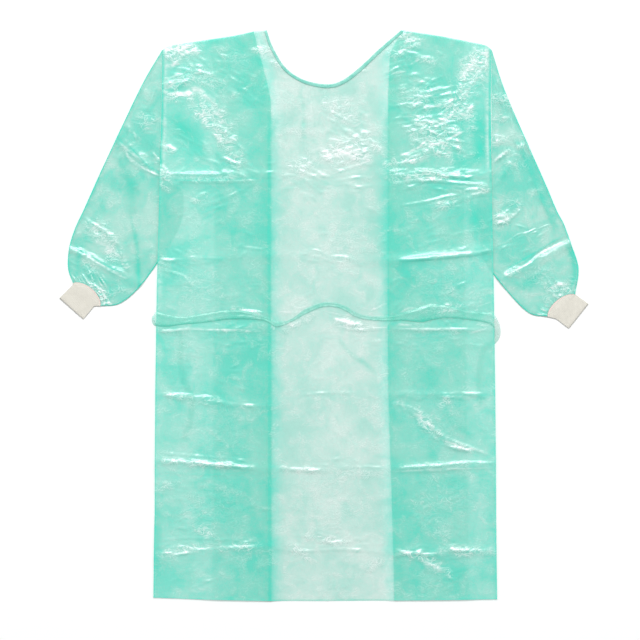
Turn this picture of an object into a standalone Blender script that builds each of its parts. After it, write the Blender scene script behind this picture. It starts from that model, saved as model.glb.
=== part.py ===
"""Isolation gown of thin film, laid flat with its front up: the construction.

One object for each piece that a maker cuts and sews. Sizes are in millimetres and are turned
into metres where the meshes are made. X runs across the gown, Y from the hem to the neck and Z
up from the surface that it lies on. Left and right are as seen from above, with the neck away.
"""

import math
from collections import namedtuple

import bmesh
import bpy
import numpy as np
from mathutils import Vector
from mathutils.bvhtree import BVHTree

MM = 0.001

# Driving dimensions
CLOTH = 1.0          # wall of every film piece
GAP = 0.3            # between pieces that touch
KNIT = 1.2           # wall of a cuff, without its ribs
RIB_HEIGHT = 0.4
RIBS_ACROSS = 14     # ribs on each face of a cuff
NECK_TO_HEM = 1150.0
BINDING_WIDTH = 7.0
FOLD_RADIUS = 1.15   # outer radius of a back panel's hairpin fold, seen from its end

# Worked out from those
LAYER = CLOTH + GAP              # from one layer's underside to the next one's
SLEEVE_HEIGHT = 2 * CLOTH + GAP  # a sleeve pressed flat
HEM_Y = -NECK_TO_HEM / 2
NECK_POINT_Y = HEM_Y + NECK_TO_HEM

# The body's outline: its side edges and the folds of the back panels, at heights along it
Outline = namedtuple("Outline", "y left_side left_fold right_fold right_side")
BODY = (
    Outline(-575.0, -344.5, -107.0, 143.0, 350.0),
    Outline(-400.0, -342.0, -107.0, 139.0, 348.0),
    Outline(-150.0, -340.5, -107.0, 131.0, 346.0),
    Outline(50.0, -337.5, -108.0, 130.0, 343.0),
    Outline(254.0, -332.0, -108.0, 130.0, 338.5),
    Outline(430.0, -328.0, -108.0, 131.0, 337.0),
)

# Hem and shoulder edges, from side to side
Edge = namedtuple("Edge", "x y")
HEM = (
    Edge(-344.5, -569.5),
    Edge(-107.0, -576.5),
    Edge(143.0, -575.5),
    Edge(350.0, -573.0),
)
SHOULDERS = (
    Edge(-326.0, 536.0),
    Edge(-318.0, 542.0),
    Edge(-303.0, 547.0),
    Edge(-182.0, 565.0),
    Edge(-143.0, 573.5),
    Edge(-116.0, NECK_POINT_Y + 1.5),
    Edge(157.0, NECK_POINT_Y + 1.5),
    Edge(162.0, 575.5),
    Edge(237.0, 564.5),
    Edge(315.0, 549.0),
    Edge(330.0, 545.0),
    Edge(338.0, 537.0),
)
NECK_SCOOP = (
    Edge(-116.0, NECK_POINT_Y + 1.5),
    Edge(-103.0, 541.0),
    Edge(-77.0, 500.0),
    Edge(-40.0, 476.0),
    Edge(6.0, 467.0),
    Edge(37.0, 475.0),
    Edge(71.0, 500.0),
    Edge(115.0, 541.0),
    Edge(157.0, NECK_POINT_Y + 1.5),
)
SCOOP_SEGMENTS = 14
CHEST_Y = 430.0      # above it the columns of the panels lean out to the neck
CHEST_ROWS = 4
LEAN_LEFT = 1.2      # 1 is a straight lean, and more keeps it to the top
LEAN_RIGHT = 3.5

# Where the columns of a wing (side edge to fold) lie, as shares of its width. The flap of the
# back panel reaches from the fold to its free edge, so a column lies there.
LEFT_COLUMNS = (0.0, 0.07, 0.16, 0.30, 0.435, 0.49, 0.66, 0.84, 1.0)
RIGHT_COLUMNS = (0.0, 0.09, 0.20, 0.27, 0.45, 0.65, 0.84, 1.0)
LEFT_FLAP_COLUMN = 5
RIGHT_FLAP_COLUMN = 3

# Packing creases that cross the whole gown: where each lies at the side edges and the folds, and
# how high its ridge stands on the left, in the middle and on the right
Crease = namedtuple("Crease", "left_side left_fold right_fold right_side left middle right half")
CREASES = (
    Crease(-494.0, -466.0, -478.0, -474.0, 2.5, 1.5, 3.0, 11.0),
    Crease(-292.0, -311.0, -309.0, -298.0, 3.5, 1.8, 4.0, 9.0),
    Crease(-158.0, -183.0, -160.0, -158.0, 2.0, 1.0, 2.5, 9.0),
    Crease(-27.0, -25.0, -23.0, -25.0, 2.5, 1.2, 3.0, 10.0),
    Crease(114.0, 122.0, 110.0, 135.0, 2.0, 2.0, 4.5, 11.0),
    Crease(265.0, 268.0, 262.0, 260.0, 3.0, 1.0, 3.0, 6.5),
    Crease(284.0, 285.0, 284.0, 286.0, 4.0, 1.5, 4.0, 6.5),
)
FLANK_SHARE = 0.15   # of a ridge's height, left on the rows at its two flanks
PLAIN_ROW_EVERY = 100.0

# How much of a ridge's height is left along the gown: they fade at the sides, the folds and the
# middle of the front
Fade = namedtuple("Fade", "x left middle right")
RIDGE_FADE = (
    Fade(-345.0, 0.55, 0.0, 0.0),
    Fade(-318.0, 1.0, 0.0, 0.0),
    Fade(-125.0, 1.0, 0.0, 0.0),
    Fade(-92.0, 0.0, 1.0, 0.0),
    Fade(0.0, 0.0, 0.6, 0.0),
    Fade(112.0, 0.0, 1.0, 0.0),
    Fade(150.0, 0.0, 0.0, 1.0),
    Fade(300.0, 0.0, 0.0, 1.0),
    Fade(345.0, 0.0, 0.0, 0.6),
)

# Where the back panels are lifted by what lies under them
Lift = namedtuple("Lift", "bottom bottom_full top_full top")
SLEEVE_LIFT = Lift(-12.0, 40.0, 292.0, 360.0)
BELT_LIFT = Lift(-395.0, -302.0, -8.0, 36.0)
SLEEVE_REACH_LEFT = 70.0     # the lift is full this far in from the side edge
SLEEVE_REACH_RIGHT = 44.0
SLEEVE_RUN_OUT = 72.0

# Sleeves: lines across the tube from its outer to its inner edge, from the armhole to the cuff
Station = namedtuple("Station", "outer_x outer_y inner_x inner_y ridge")
SLEEVE_LEFT = (
    Station(-326.4, 536.0, -299.0, 262.0, 0.0),
    Station(-366.0, 468.0, -289.0, 254.0, 0.0),
    Station(-417.0, 361.0, -285.0, 242.0, 3.0),
    Station(-452.0, 286.0, -285.0, 211.0, 0.0),
    Station(-481.0, 221.0, -295.0, 177.0, 0.0),
    Station(-503.0, 173.0, -317.0, 137.0, 0.0),
    Station(-514.0, 135.0, -370.0, 62.0, 3.0),
    Station(-516.0, 96.0, -413.0, 25.5, 0.0),
    Station(-506.0, 66.0, -451.0, 20.5, 0.0),
)
SLEEVE_RIGHT = (
    Station(338.4, 537.0, 317.0, 250.0, 0.0),
    Station(366.0, 452.0, 312.0, 242.0, 0.0),
    Station(410.0, 349.0, 310.0, 224.0, 2.0),
    Station(445.0, 270.0, 312.0, 193.0, 0.0),
    Station(471.0, 209.0, 318.0, 154.0, 0.0),
    Station(483.0, 187.0, 323.0, 118.0, 0.0),
    Station(498.0, 146.0, 354.0, 70.0, 3.5),
    Station(513.5, 96.0, 411.0, 9.0, 0.0),
    Station(506.5, 43.0, 451.5, -1.0, 0.0),
)
ARMHOLE_DEPTH = 266.0        # of the seam, from the shoulder down
SLEEVE_COLUMNS = 10
SEAM_SHARE = 0.8             # of a sleeve's columns, those that lie on the armhole seam
ARMHOLE_BOW = 2.2            # stations until the lines across a sleeve have straightened
RIDGE_FLANK = 0.22           # of the way to the next station
FADE_AT_BODY = (3.0, 22.0)   # a sleeve's ridges rise from none to full, this far from the body
GATHER_HEIGHT = 0.9          # small pleats where the film is gathered into a cuff
CUFF_BOW = 1.5               # stations until the cuff's bow has run out
BOW_ROUNDNESS = 0.7
TUBE_EDGE = (0.7, 0.0, -0.7) # heights round a pressed tube's edge, as shares of half its height

# Cuffs: the free edge, the neck of the flare and how far the seam bows into the sleeve
Cuff = namedtuple("Cuff", "free_outer free_inner neck_outer neck_inner bow")
CUFF_LEFT = Cuff((-533.5, 34.6), (-487.0, -6.5), (-506.0, 62.0), (-464.5, 20.5), 15.0)
CUFF_RIGHT = Cuff((533.7, 23.0), (495.5, -25.0), (507.0, 42.0), (470.0, -5.5), 13.0)
CUFF_ROWS = 4

# The belt, from the end of its left tail to the end of its right one. Over is 1 on the front of
# the gown and 0 on the surface under it
BeltPoint = namedtuple("BeltPoint", "x y width height over")
BELT = (
    BeltPoint(-283.0, -256.0, 11.0, 1.0, 0.0),
    BeltPoint(-270.0, -211.0, 11.0, 1.0, 0.0),
    BeltPoint(-267.0, -166.0, 11.0, 1.0, 0.0),
    BeltPoint(-283.0, -130.0, 10.0, 1.0, 0.0),
    BeltPoint(-291.0, -82.0, 10.0, 1.0, 0.0),
    BeltPoint(-288.0, -46.0, 9.0, 1.0, 0.0),
    BeltPoint(-306.0, -28.0, 7.0, 1.0, 0.0),
    BeltPoint(-331.0, -21.0, 4.5, 1.0, 0.0),
    BeltPoint(-342.0, -18.5, 4.0, 1.2, 0.0),
    BeltPoint(-345.0, -12.0, 4.0, 1.8, 0.35),
    BeltPoint(-344.5, -5.5, 4.0, 2.0, 0.85),
    BeltPoint(-338.0, -1.0, 5.0, 2.0, 1.0),
    BeltPoint(-318.0, -4.0, 10.0, 1.8, 1.0),
    BeltPoint(-285.0, -8.5, 15.0, 1.6, 1.0),
    BeltPoint(-235.0, -3.5, 14.0, 1.8, 1.0),
    BeltPoint(-190.0, -1.0, 12.0, 2.2, 1.0),
    BeltPoint(-150.0, -4.0, 10.0, 2.4, 1.0),
    BeltPoint(-115.0, -15.0, 9.0, 2.6, 1.0),
    BeltPoint(-70.0, -8.0, 9.0, 2.8, 1.0),
    BeltPoint(-38.0, 8.0, 8.5, 3.0, 1.0),
    BeltPoint(-5.0, 21.0, 8.0, 3.0, 1.0),
    BeltPoint(22.0, 21.5, 8.0, 3.0, 1.0),
    BeltPoint(44.0, 14.0, 8.0, 3.0, 1.0),
    BeltPoint(66.0, 1.0, 8.0, 2.8, 1.0),
    BeltPoint(94.0, -5.0, 8.0, 2.6, 1.0),
    BeltPoint(132.0, -6.5, 8.5, 2.4, 1.0),
    BeltPoint(160.0, 1.0, 11.0, 2.2, 1.0),
    BeltPoint(196.0, 5.5, 14.0, 2.0, 1.0),
    BeltPoint(240.0, 3.5, 16.0, 1.8, 1.0),
    BeltPoint(285.0, -2.0, 16.0, 1.8, 1.0),
    BeltPoint(314.0, -8.0, 14.0, 1.8, 1.0),
    BeltPoint(337.0, -10.5, 10.0, 2.0, 1.0),
    BeltPoint(349.0, -19.0, 9.5, 2.0, 0.95),
    BeltPoint(351.5, -32.0, 10.0, 1.6, 0.5),
    BeltPoint(350.0, -45.0, 8.0, 1.2, 0.05),
    BeltPoint(340.0, -56.0, 7.0, 1.0, 0.0),
    BeltPoint(325.0, -66.0, 8.0, 1.0, 0.0),
    BeltPoint(316.0, -95.0, 10.0, 1.0, 0.0),
    BeltPoint(313.0, -140.0, 10.0, 1.0, 0.0),
    BeltPoint(316.0, -185.0, 10.0, 1.0, 0.0),
)
BELT_SECTION_EVERY = 12.0
# The belt's section, as shares of its half width and its height: bunched film with a groove
BELT_SECTION = (
    (-1.0, 0.0), (-0.9, 0.65), (-0.45, 1.0), (0.0, 0.72), (0.5, 0.95), (0.9, 0.6), (1.0, 0.0),
    (0.4, 0.0), (-0.4, 0.0),
)
BELT_FEEL = 5.0      # the belt rests on the highest cloth within this of each of its points
BINDING_FEEL = 9.0
SEAT_GAP = GAP + 0.05

FILM = (0.235, 0.79, 0.66)
FILM_DEEP = (0.17, 0.72, 0.59)
TRIM = (0.13, 0.82, 0.66)
KNIT_WHITE = (0.76, 0.75, 0.68)


def soft_step(value, start, end):
    """0 before start, 1 after end, and a soft rise between them."""
    share = min(max((value - start) / (end - start), 0.0), 1.0)
    return share * share * (3.0 - 2.0 * share)


def mix(first, second, share):
    return first + (second - first) * share


def read(table, key, at, column):
    """A column of a table, at a place along its key column."""
    places = [getattr(row, key) for row in table]
    values = [getattr(row, column) for row in table]
    return float(np.interp(at, places, values))


def smooth_curve(points, places):
    """Values of a smooth curve through rows of numbers, at places counted in rows."""
    rows = np.array(points, dtype=float)
    slopes = np.gradient(rows, axis=0)
    result = []
    for place in places:
        start = min(int(place), len(rows) - 2)
        t = place - start
        value = (
            (2 * t**3 - 3 * t**2 + 1) * rows[start]
            + (t**3 - 2 * t**2 + t) * slopes[start]
            + (3 * t**2 - 2 * t**3) * rows[start + 1]
            + (t**3 - t**2) * slopes[start + 1]
        )
        result.append(value)
    return np.array(result)


def even_places(points, count):
    """Places, counted in rows, that part a smooth curve through points into equal lengths."""
    fine = np.linspace(0.0, len(points) - 1.0, 40 * len(points))
    path = smooth_curve(points, fine)[:, :2]
    steps = np.hypot(*np.diff(path, axis=0).T)
    length = np.concatenate(([0.0], np.cumsum(steps)))
    return np.interp(np.linspace(0.0, length[-1], count + 1), length, fine), length[-1]


def material(name, colour, roughness):
    surface = bpy.data.materials.new(name)
    surface.use_nodes = True
    shader = surface.node_tree.nodes["Principled BSDF"]
    shader.inputs["Base Color"].default_value = (*colour, 1.0)
    shader.inputs["Roughness"].default_value = roughness
    surface.diffuse_color = (*colour, 1.0)
    return surface


def add_object(name, points, faces, colour, roughness=0.3):
    """One closed solid from points in millimetres."""
    mesh = bpy.data.meshes.new(name)
    mesh.from_pydata([Vector(point) * MM for point in points], [], faces)
    shape = bmesh.new()
    shape.from_mesh(mesh)
    bmesh.ops.recalc_face_normals(shape, faces=shape.faces)
    shape.to_mesh(mesh)
    shape.free()
    mesh.materials.append(material(name, colour, roughness))
    mesh.shade_smooth()
    mesh.set_sharp_from_angle(angle=math.radians(35.0))
    made = bpy.data.objects.new(name, mesh)
    bpy.context.collection.objects.link(made)
    return made


def cell(a, b, c, d):
    """Two triangles, split the same way in every layer, so that layers nest."""
    return [(a, b, c), (a, c, d)]


def wall(name, outer, inner, colour, closed_round=False, roughness=0.3):
    """A cloth wall between two grids of points, each a list of rows of equal length."""
    rows = len(outer)
    columns = len(outer[0])
    points = [point for grid in (outer, inner) for row in grid for point in row]
    other = rows * columns
    around = columns if closed_round else columns - 1

    def index(row, column):
        return row * columns + column % columns

    faces = []
    for row in range(rows - 1):
        for column in range(around):
            corners = (
                index(row, column),
                index(row, column + 1),
                index(row + 1, column + 1),
                index(row + 1, column),
            )
            faces += cell(*corners)
            faces += [face[::-1] for face in cell(*(corner + other for corner in corners))]
    for row in (0, rows - 1):
        for column in range(around):
            a = index(row, column)
            b = index(row, column + 1)
            faces += cell(a, b, b + other, a + other)
    if not closed_round:
        for column in (0, columns - 1):
            for row in range(rows - 1):
                a = index(row, column)
                b = index(row + 1, column)
                faces += cell(a, b, b + other, a + other)
    return add_object(name, points, faces, colour, roughness)


def crease_rows():
    """The rows of the body below the chest, from hem to chest, each with its four places along Y
    and its ridge heights. Every crease gives a row on each flank and one on its crest."""
    rows = [((HEM[0].y, HEM[1].y, HEM[2].y, HEM[3].y), (0.0, 0.0, 0.0))]
    for crease in CREASES:
        places = np.array(crease[:4])
        gap = min(places - crease.half - np.array(rows[-1][0]))
        plain = int(gap // PLAIN_ROW_EVERY)
        last = np.array(rows[-1][0])
        for number in range(plain):
            share = (number + 1.0) / (plain + 1.0)
            rows.append((tuple(mix(last, places - crease.half, share)), (0.0, 0.0, 0.0)))
        heights = (crease.left, crease.middle, crease.right)
        flank = tuple(FLANK_SHARE * height for height in heights)
        rows.append((tuple(places - crease.half), flank))
        rows.append((tuple(places), heights))
        rows.append((tuple(places + crease.half), flank))
    last = np.array(rows[-1][0])
    for share in (0.5, 1.0):
        rows.append((tuple(mix(last, np.full(4, CHEST_Y), share)), (0.0, 0.0, 0.0)))
    return rows


def row_y(row, x):
    """How far along Y a row lies at x."""
    places = row[0]
    stops = (BODY[3].left_side, BODY[3].left_fold, BODY[3].right_fold, BODY[3].right_side)
    return float(np.interp(x, stops, places))


def row_ridge(row, x):
    """The ridge height of a row at x: full on each wing, and it fades beside the folds."""
    zones = ("left", "middle", "right")
    return sum(height * read(RIDGE_FADE, "x", x, zone) for zone, height in zip(zones, row[1]))


def lift_share(lift, y):
    rise = soft_step(y, lift.bottom, lift.bottom_full)
    return rise * (1.0 - soft_step(y, lift.top_full, lift.top))


def back_lift(left, share, flap_share, x, y, side_x):
    """How far a back panel is held off the surface by what lies under it."""
    reach = SLEEVE_REACH_LEFT if left else SLEEVE_REACH_RIGHT
    inward = abs(x - side_x)
    over_sleeve = 1.0 - soft_step(inward, reach, reach + SLEEVE_RUN_OUT)
    sleeve = (SLEEVE_HEIGHT + GAP) * over_sleeve * lift_share(SLEEVE_LIFT, y)
    belt = LAYER * lift_share(BELT_LIFT, y)
    flap = LAYER if share >= flap_share - 0.001 else 0.0
    return max(sleeve, belt, flap)


def chest_rows(chest, tops, leans):
    """The rows from the chest to the shoulder and neck edges."""
    rows = []
    for number in range(CHEST_ROWS):
        up = (number + 1.0) / CHEST_ROWS
        line = []
        for (x, y, height), (top_x, top_y), lean in zip(chest, tops, leans):
            line.append((mix(x, top_x, up ** lean), mix(y, top_y, up), height))
        rows.append(line)
    return rows


def wing_grid(left):
    """Points (x, y, height of the back panel's underside) of one wing, side edge first."""
    shares = LEFT_COLUMNS if left else RIGHT_COLUMNS
    flap_share = shares[LEFT_FLAP_COLUMN if left else RIGHT_FLAP_COLUMN]
    side = "left_side" if left else "right_side"
    fold = "left_fold" if left else "right_fold"
    grid = []
    for row in ROWS:
        line = []
        for share in shares:
            x = mix(read(BODY, "y", row[0][0 if left else 3], side),
                    read(BODY, "y", row[0][1 if left else 2], fold), share)
            y = row_y(row, x)
            side_x = read(BODY, "y", y, side)
            x = mix(side_x, read(BODY, "y", y, fold), share)
            height = back_lift(left, share, flap_share, x, y, side_x) + row_ridge(row, x)
            line.append((x, y, height))
        grid.append(line)
    corner_x = (SHOULDERS[0] if left else SHOULDERS[-1]).x
    neck_x = (SHOULDERS[4] if left else SHOULDERS[7]).x
    top_xs = [mix(corner_x, neck_x, share) for share in shares]
    tops = [(x, read(SHOULDERS, "x", x, "y")) for x in top_xs]
    lean = LEAN_LEFT if left else LEAN_RIGHT
    return grid + chest_rows(grid[-1], tops, [lean] * len(tops))


def scoop_points():
    places, _ = even_places(NECK_SCOOP, SCOOP_SEGMENTS)
    return [tuple(point) for point in smooth_curve(NECK_SCOOP, places)]


def middle_grid(left_wing, right_wing):
    """Points of the single layer between the folds, without the fold columns themselves."""
    tops = scoop_points()
    count = len(tops) + 1
    grid = []
    for number, row in enumerate(ROWS):
        first = left_wing[number][-1]
        last = right_wing[number][-1]
        line = []
        for column in range(1, count):
            x = mix(first[0], last[0], column / count)
            line.append((x, row_y(row, x), row_ridge(row, x)))
        grid.append(line)
    leans = [mix(LEAN_LEFT, LEAN_RIGHT, column / count) for column in range(1, count)]
    return grid + chest_rows(grid[-1], tops, leans)


def raised(grid, amount):
    return [[(x, y, z + amount) for x, y, z in line] for line in grid]


def make_front(left_wing, right_wing, middle):
    under = []
    for left, centre, right in zip(raised(left_wing, LAYER), middle, raised(right_wing, LAYER)):
        under.append(left + centre + right[::-1])
    over = raised(under, CLOTH)
    return wall("front", over, under, FILM)


def make_back(name, wing, flap_column):
    """A back panel: the wing, a hairpin fold at the fold line and the flap under the wing."""
    outer = []
    inner = []
    for line in wing:
        fold_x, fold_y, fold_z = line[-1]
        inward = -1.0 if fold_x < 0.0 else 1.0
        turn_x = fold_x + inward * FOLD_RADIUS
        top = [(x, y, z + CLOTH) for x, y, z in line[:-1]]
        under = list(line[:-1])
        high = fold_z + CLOTH
        for angle in (90.0, 45.0, 0.0, -45.0, -90.0):
            reach = math.cos(math.radians(angle))
            rise = math.sin(math.radians(angle))
            top.append((turn_x - inward * FOLD_RADIUS * reach, fold_y, high / 2 + high / 2 * rise))
            under.append((
                turn_x - inward * (FOLD_RADIUS - CLOTH) * reach,
                fold_y,
                (fold_z + CLOTH) / 2 + (fold_z - CLOTH) / 2 * rise,
            ))
        for x, y, _ in reversed(line[flap_column:-1]):
            top.append((x, y, 0.0))
            under.append((x, y, CLOTH))
        across = slice(None, None, -int(inward))
        outer.append(top[across])
        inner.append(under[across])
    return wall(name, outer, inner, FILM_DEEP)


def flat_tube(lines, edge, thick, ridge_lines):
    """Rings of a tube pressed flat on the surface: outer points and inner points. Each line runs
    across the tube, and ridge_lines give how far the upper wall is raised at its points. The
    tube's rounded edges reach out past the ends of its lines."""
    outer = []
    inner = []
    upper = 2 * thick + GAP
    middle = upper / 2
    for line, ridges in zip(lines, ridge_lines):
        first = Vector(line[0])
        last = Vector(line[-1])
        outer_ring = []
        inner_ring = []
        for point, ridge in zip(line, ridges):
            outer_ring.append((point[0], point[1], upper + ridge))
            inner_ring.append((point[0], point[1], upper - thick + ridge))
        outwards = (last - Vector(line[-2])).normalized()
        for rise in TUBE_EDGE:
            reach = math.sqrt(1.0 - rise * rise)
            at = last + outwards * (edge * reach)
            near = last + outwards * ((edge - thick) * reach)
            outer_ring.append((at.x, at.y, middle * (1.0 + rise)))
            inner_ring.append((near.x, near.y, middle + (middle - thick) * rise))
        for point in reversed(line):
            outer_ring.append((point[0], point[1], 0.0))
            inner_ring.append((point[0], point[1], thick))
        outwards = (first - Vector(line[1])).normalized()
        for rise in reversed(TUBE_EDGE):
            reach = math.sqrt(1.0 - rise * rise)
            at = first + outwards * (edge * reach)
            near = first + outwards * ((edge - thick) * reach)
            outer_ring.append((at.x, at.y, middle * (1.0 + rise)))
            inner_ring.append((near.x, near.y, middle + (middle - thick) * rise))
        outer.append(outer_ring)
        inner.append(inner_ring)
    return outer, inner


def sleeve_lines(stations, cuff):
    """Lines across a sleeve, and how far the upper wall is raised at their points."""
    left = stations[0].outer_x < 0.0
    side = "left_side" if left else "right_side"
    away = -1.0 if left else 1.0
    shares = np.linspace(0.0, 1.0, SLEEVE_COLUMNS + 1)
    first = stations[0]
    armhole = []
    seam_end = Vector((read(BODY, "y", first.outer_y - ARMHOLE_DEPTH, side) + away * GAP,
                       first.outer_y - ARMHOLE_DEPTH))
    for share in shares:
        if share <= SEAM_SHARE:
            y = mix(first.outer_y, seam_end.y, share / SEAM_SHARE)
            x = mix(first.outer_x, seam_end.x, share / SEAM_SHARE)
            armhole.append(Vector((x, y)))
        else:
            hidden = (share - SEAM_SHARE) / (1.0 - SEAM_SHARE)
            armhole.append(seam_end.lerp(Vector((first.inner_x, first.inner_y)), hidden))
    cuff_line = cuff_seam(stations[-1], cuff, shares)
    places = [0.0, 0.5, 1.0, 1.4]
    for number in range(2, len(stations) - 1):
        if stations[number].ridge:
            places += [number - RIDGE_FLANK, float(number), number + RIDGE_FLANK]
        else:
            places += [float(number)]
    places += [len(stations) - 1.6, len(stations) - 1.25, len(stations) - 1.0]
    table = smooth_curve(stations, places)
    lines = []
    ridges = []
    for place, row in zip(places, table):
        outer = Vector(row[:2])
        inner = Vector(row[2:4])
        at_armhole = 1.0 - min(place / ARMHOLE_BOW, 1.0)
        at_cuff = 1.0 - min((len(stations) - 1.0 - place) / CUFF_BOW, 1.0)
        near = min(range(len(stations)), key=lambda number: abs(number - place))
        ridge = stations[near].ridge if abs(near - place) < 0.01 else 0.0
        line = []
        heights = []
        for number, share in enumerate(shares):
            straight = outer.lerp(inner, share)
            start_bow = armhole[number] - Vector(first[:2]).lerp(Vector(first[2:4]), share)
            end_bow = cuff_line[number] - cuff_line[0].lerp(cuff_line[-1], share)
            point = straight + start_bow * at_armhole + end_bow * at_cuff
            outside = away * (point.x - read(BODY, "y", point.y, side))
            shown = soft_step(outside, *FADE_AT_BODY)
            gather = GATHER_HEIGHT * (number % 2) * soft_step(at_cuff, 0.5, 1.0)
            line.append(point)
            heights.append(shown * (ridge + gather))
        lines.append(line)
        ridges.append(heights)
    return lines, ridges


def cuff_seam(station, cuff, shares):
    """The seam of a sleeve and its cuff, which bows up into the sleeve. It has a corner at each
    of the sleeve's columns, and shares are read between them."""
    start = Vector(station[:2])
    end = Vector(station[2:4])
    along = (end - start).normalized()
    left = start.x < 0.0
    into_sleeve = Vector((-along.y, along.x)) if left else Vector((along.y, -along.x))
    corners = np.linspace(0.0, 1.0, SLEEVE_COLUMNS + 1)
    bows = cuff.bow * (4.0 * corners * (1.0 - corners)) ** BOW_ROUNDNESS
    seam = []
    for share in shares:
        bow = float(np.interp(share, corners, bows))
        seam.append(start.lerp(end, share) + into_sleeve * bow)
    return seam


def make_sleeve(name, stations, cuff):
    lines, ridges = sleeve_lines(stations, cuff)
    outer, inner = flat_tube(lines, FOLD_RADIUS, CLOTH, ridges)
    return wall(name, outer, inner, FILM, closed_round=True)


def make_cuff(name, station, cuff):
    """A rib-knit tube: its ribs stand out from the upper and lower faces."""
    shares = np.linspace(0.0, 1.0, 2 * RIBS_ACROSS + 1)
    seam = cuff_seam(station, cuff, shares)
    free_outer = Vector(cuff.free_outer)
    free_inner = Vector(cuff.free_inner)
    middle_seam = (seam[0] + seam[-1]) / 2
    down = ((free_outer + free_inner) / 2 - middle_seam).normalized()
    neck_outer = Vector(cuff.neck_outer)
    neck_inner = Vector(cuff.neck_inner)
    lines = []
    ridges = []
    for number in range(CUFF_ROWS + 1):
        along = number / CUFF_ROWS
        line = []
        for place, share in enumerate(shares):
            free = free_outer.lerp(free_inner, share)
            neck = neck_outer.lerp(neck_inner, share)
            start = seam[place] + down * 1.5 * GAP
            if along < 0.5:
                point = start.lerp(neck, 2.0 * along)
            else:
                point = neck.lerp(free, 2.0 * along - 1.0)
            line.append(point)
        lines.append(line)
        ridges.append([RIB_HEIGHT * (place % 2) for place in range(len(shares))])
    outer, inner = flat_tube(lines, KNIT + GAP / 2, KNIT, ridges)
    return wall(name, outer, inner, KNIT_WHITE, closed_round=True, roughness=0.9)


def height_finder(made):
    """A function that gives the height of an object's top at x and y, in millimetres."""
    mesh = made.data
    corners = [vertex.co / MM for vertex in mesh.vertices]
    tree = BVHTree.FromPolygons(corners, [tuple(face.vertices) for face in mesh.polygons])

    def height(x, y):
        hit = tree.ray_cast(Vector((x, y, 100.0)), Vector((0.0, 0.0, -1.0)))[0]
        return hit.z if hit else None

    return height


def seat(front_height, at, feel):
    """The highest cloth at a point and a little before and after it."""
    found = [front_height(spot.x, spot.y) for spot in (at - feel, at, at + feel)]
    return max([height for height in found if height is not None] + [CLOTH])


def make_neck_binding(front_height):
    """A strip along the neck edge, on the front and made from its points."""
    edge = [Vector(point) for point in scoop_points()]
    outer = []
    inner = []
    for number, point in enumerate(edge):
        before = edge[max(number - 1, 0)]
        after = edge[min(number + 1, len(edge) - 1)]
        along = (after - before).normalized()
        down = Vector((along.y, -along.x))
        over = []
        under = []
        for reach in (GAP, BINDING_WIDTH / 2, BINDING_WIDTH):
            at = point + down * reach
            base = seat(front_height, at, along * BINDING_FEEL) + SEAT_GAP
            under.append((at.x, at.y, base))
            over.append((at.x, at.y, base + CLOTH))
        outer.append(over)
        inner.append(under)
    return wall("neck_binding", outer, inner, TRIM)


def make_belt(front_height):
    places, length = even_places(BELT, 8)
    count = int(length / BELT_SECTION_EVERY)
    places, _ = even_places(BELT, count)
    centres = smooth_curve(BELT, places)
    rings = []
    for number, (x, y, width, height, over) in enumerate(centres):
        before = Vector(centres[max(number - 1, 0)][:2])
        after = Vector(centres[min(number + 1, len(centres) - 1)][:2])
        along = (after - before).normalized()
        across = Vector((-along.y, along.x))
        over = min(max(over, 0.0), 1.0)
        ring = []
        for side, up in BELT_SECTION:
            at = Vector((x, y)) + across * (side * width / 2)
            left_edge = read(BODY, "y", at.y, "left_side") + GAP
            right_edge = read(BODY, "y", at.y, "right_side") - GAP
            edge = Vector((min(max(at.x, left_edge), right_edge), at.y))
            base = over * (seat(front_height, edge, along * BELT_FEEL) + SEAT_GAP)
            ring.append((at.x, at.y, base + up * max(height, CLOTH)))
        rings.append(ring)
    size = len(BELT_SECTION)
    points = [point for ring in rings for point in ring]
    faces = []
    for number in range(len(rings) - 1):
        for place in range(size):
            following = (place + 1) % size
            here = number * size
            there = here + size
            faces += cell(here + place, here + following, there + following, there + place)
    last = (len(rings) - 1) * size
    base_middle = size - 1
    for start in (0, last):
        for place in range(size - 2):
            faces.append((start + base_middle, start + place, start + place + 1))
    return add_object("belt", points, faces, TRIM)


def clear_scene():
    for made in list(bpy.data.objects):
        bpy.data.objects.remove(made, do_unlink=True)


ROWS = crease_rows()


def main():
    clear_scene()
    left_wing = wing_grid(left=True)
    right_wing = wing_grid(left=False)
    middle = middle_grid(left_wing, right_wing)
    front = make_front(left_wing, right_wing, middle)
    make_back("back_left", left_wing, LEFT_FLAP_COLUMN)
    make_back("back_right", right_wing, RIGHT_FLAP_COLUMN)
    make_sleeve("sleeve_left", SLEEVE_LEFT, CUFF_LEFT)
    make_sleeve("sleeve_right", SLEEVE_RIGHT, CUFF_RIGHT)
    make_cuff("cuff_left", SLEEVE_LEFT[-1], CUFF_LEFT)
    make_cuff("cuff_right", SLEEVE_RIGHT[-1], CUFF_RIGHT)
    front_height = height_finder(front)
    make_neck_binding(front_height)
    make_belt(front_height)


main()
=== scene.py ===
"""Isolation gown of thin film, laid flat: its looks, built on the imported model.

Sizes are in millimetres until the meshes are made. X runs across the gown, Y from the hem to the
neck and Z up from the surface that it lies on.
"""

import math
from collections import namedtuple

import bpy
import numpy as np
from bpy.props import FloatProperty, FloatVectorProperty, IntProperty, PointerProperty
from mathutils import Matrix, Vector
from mathutils.bvhtree import BVHTree


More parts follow.
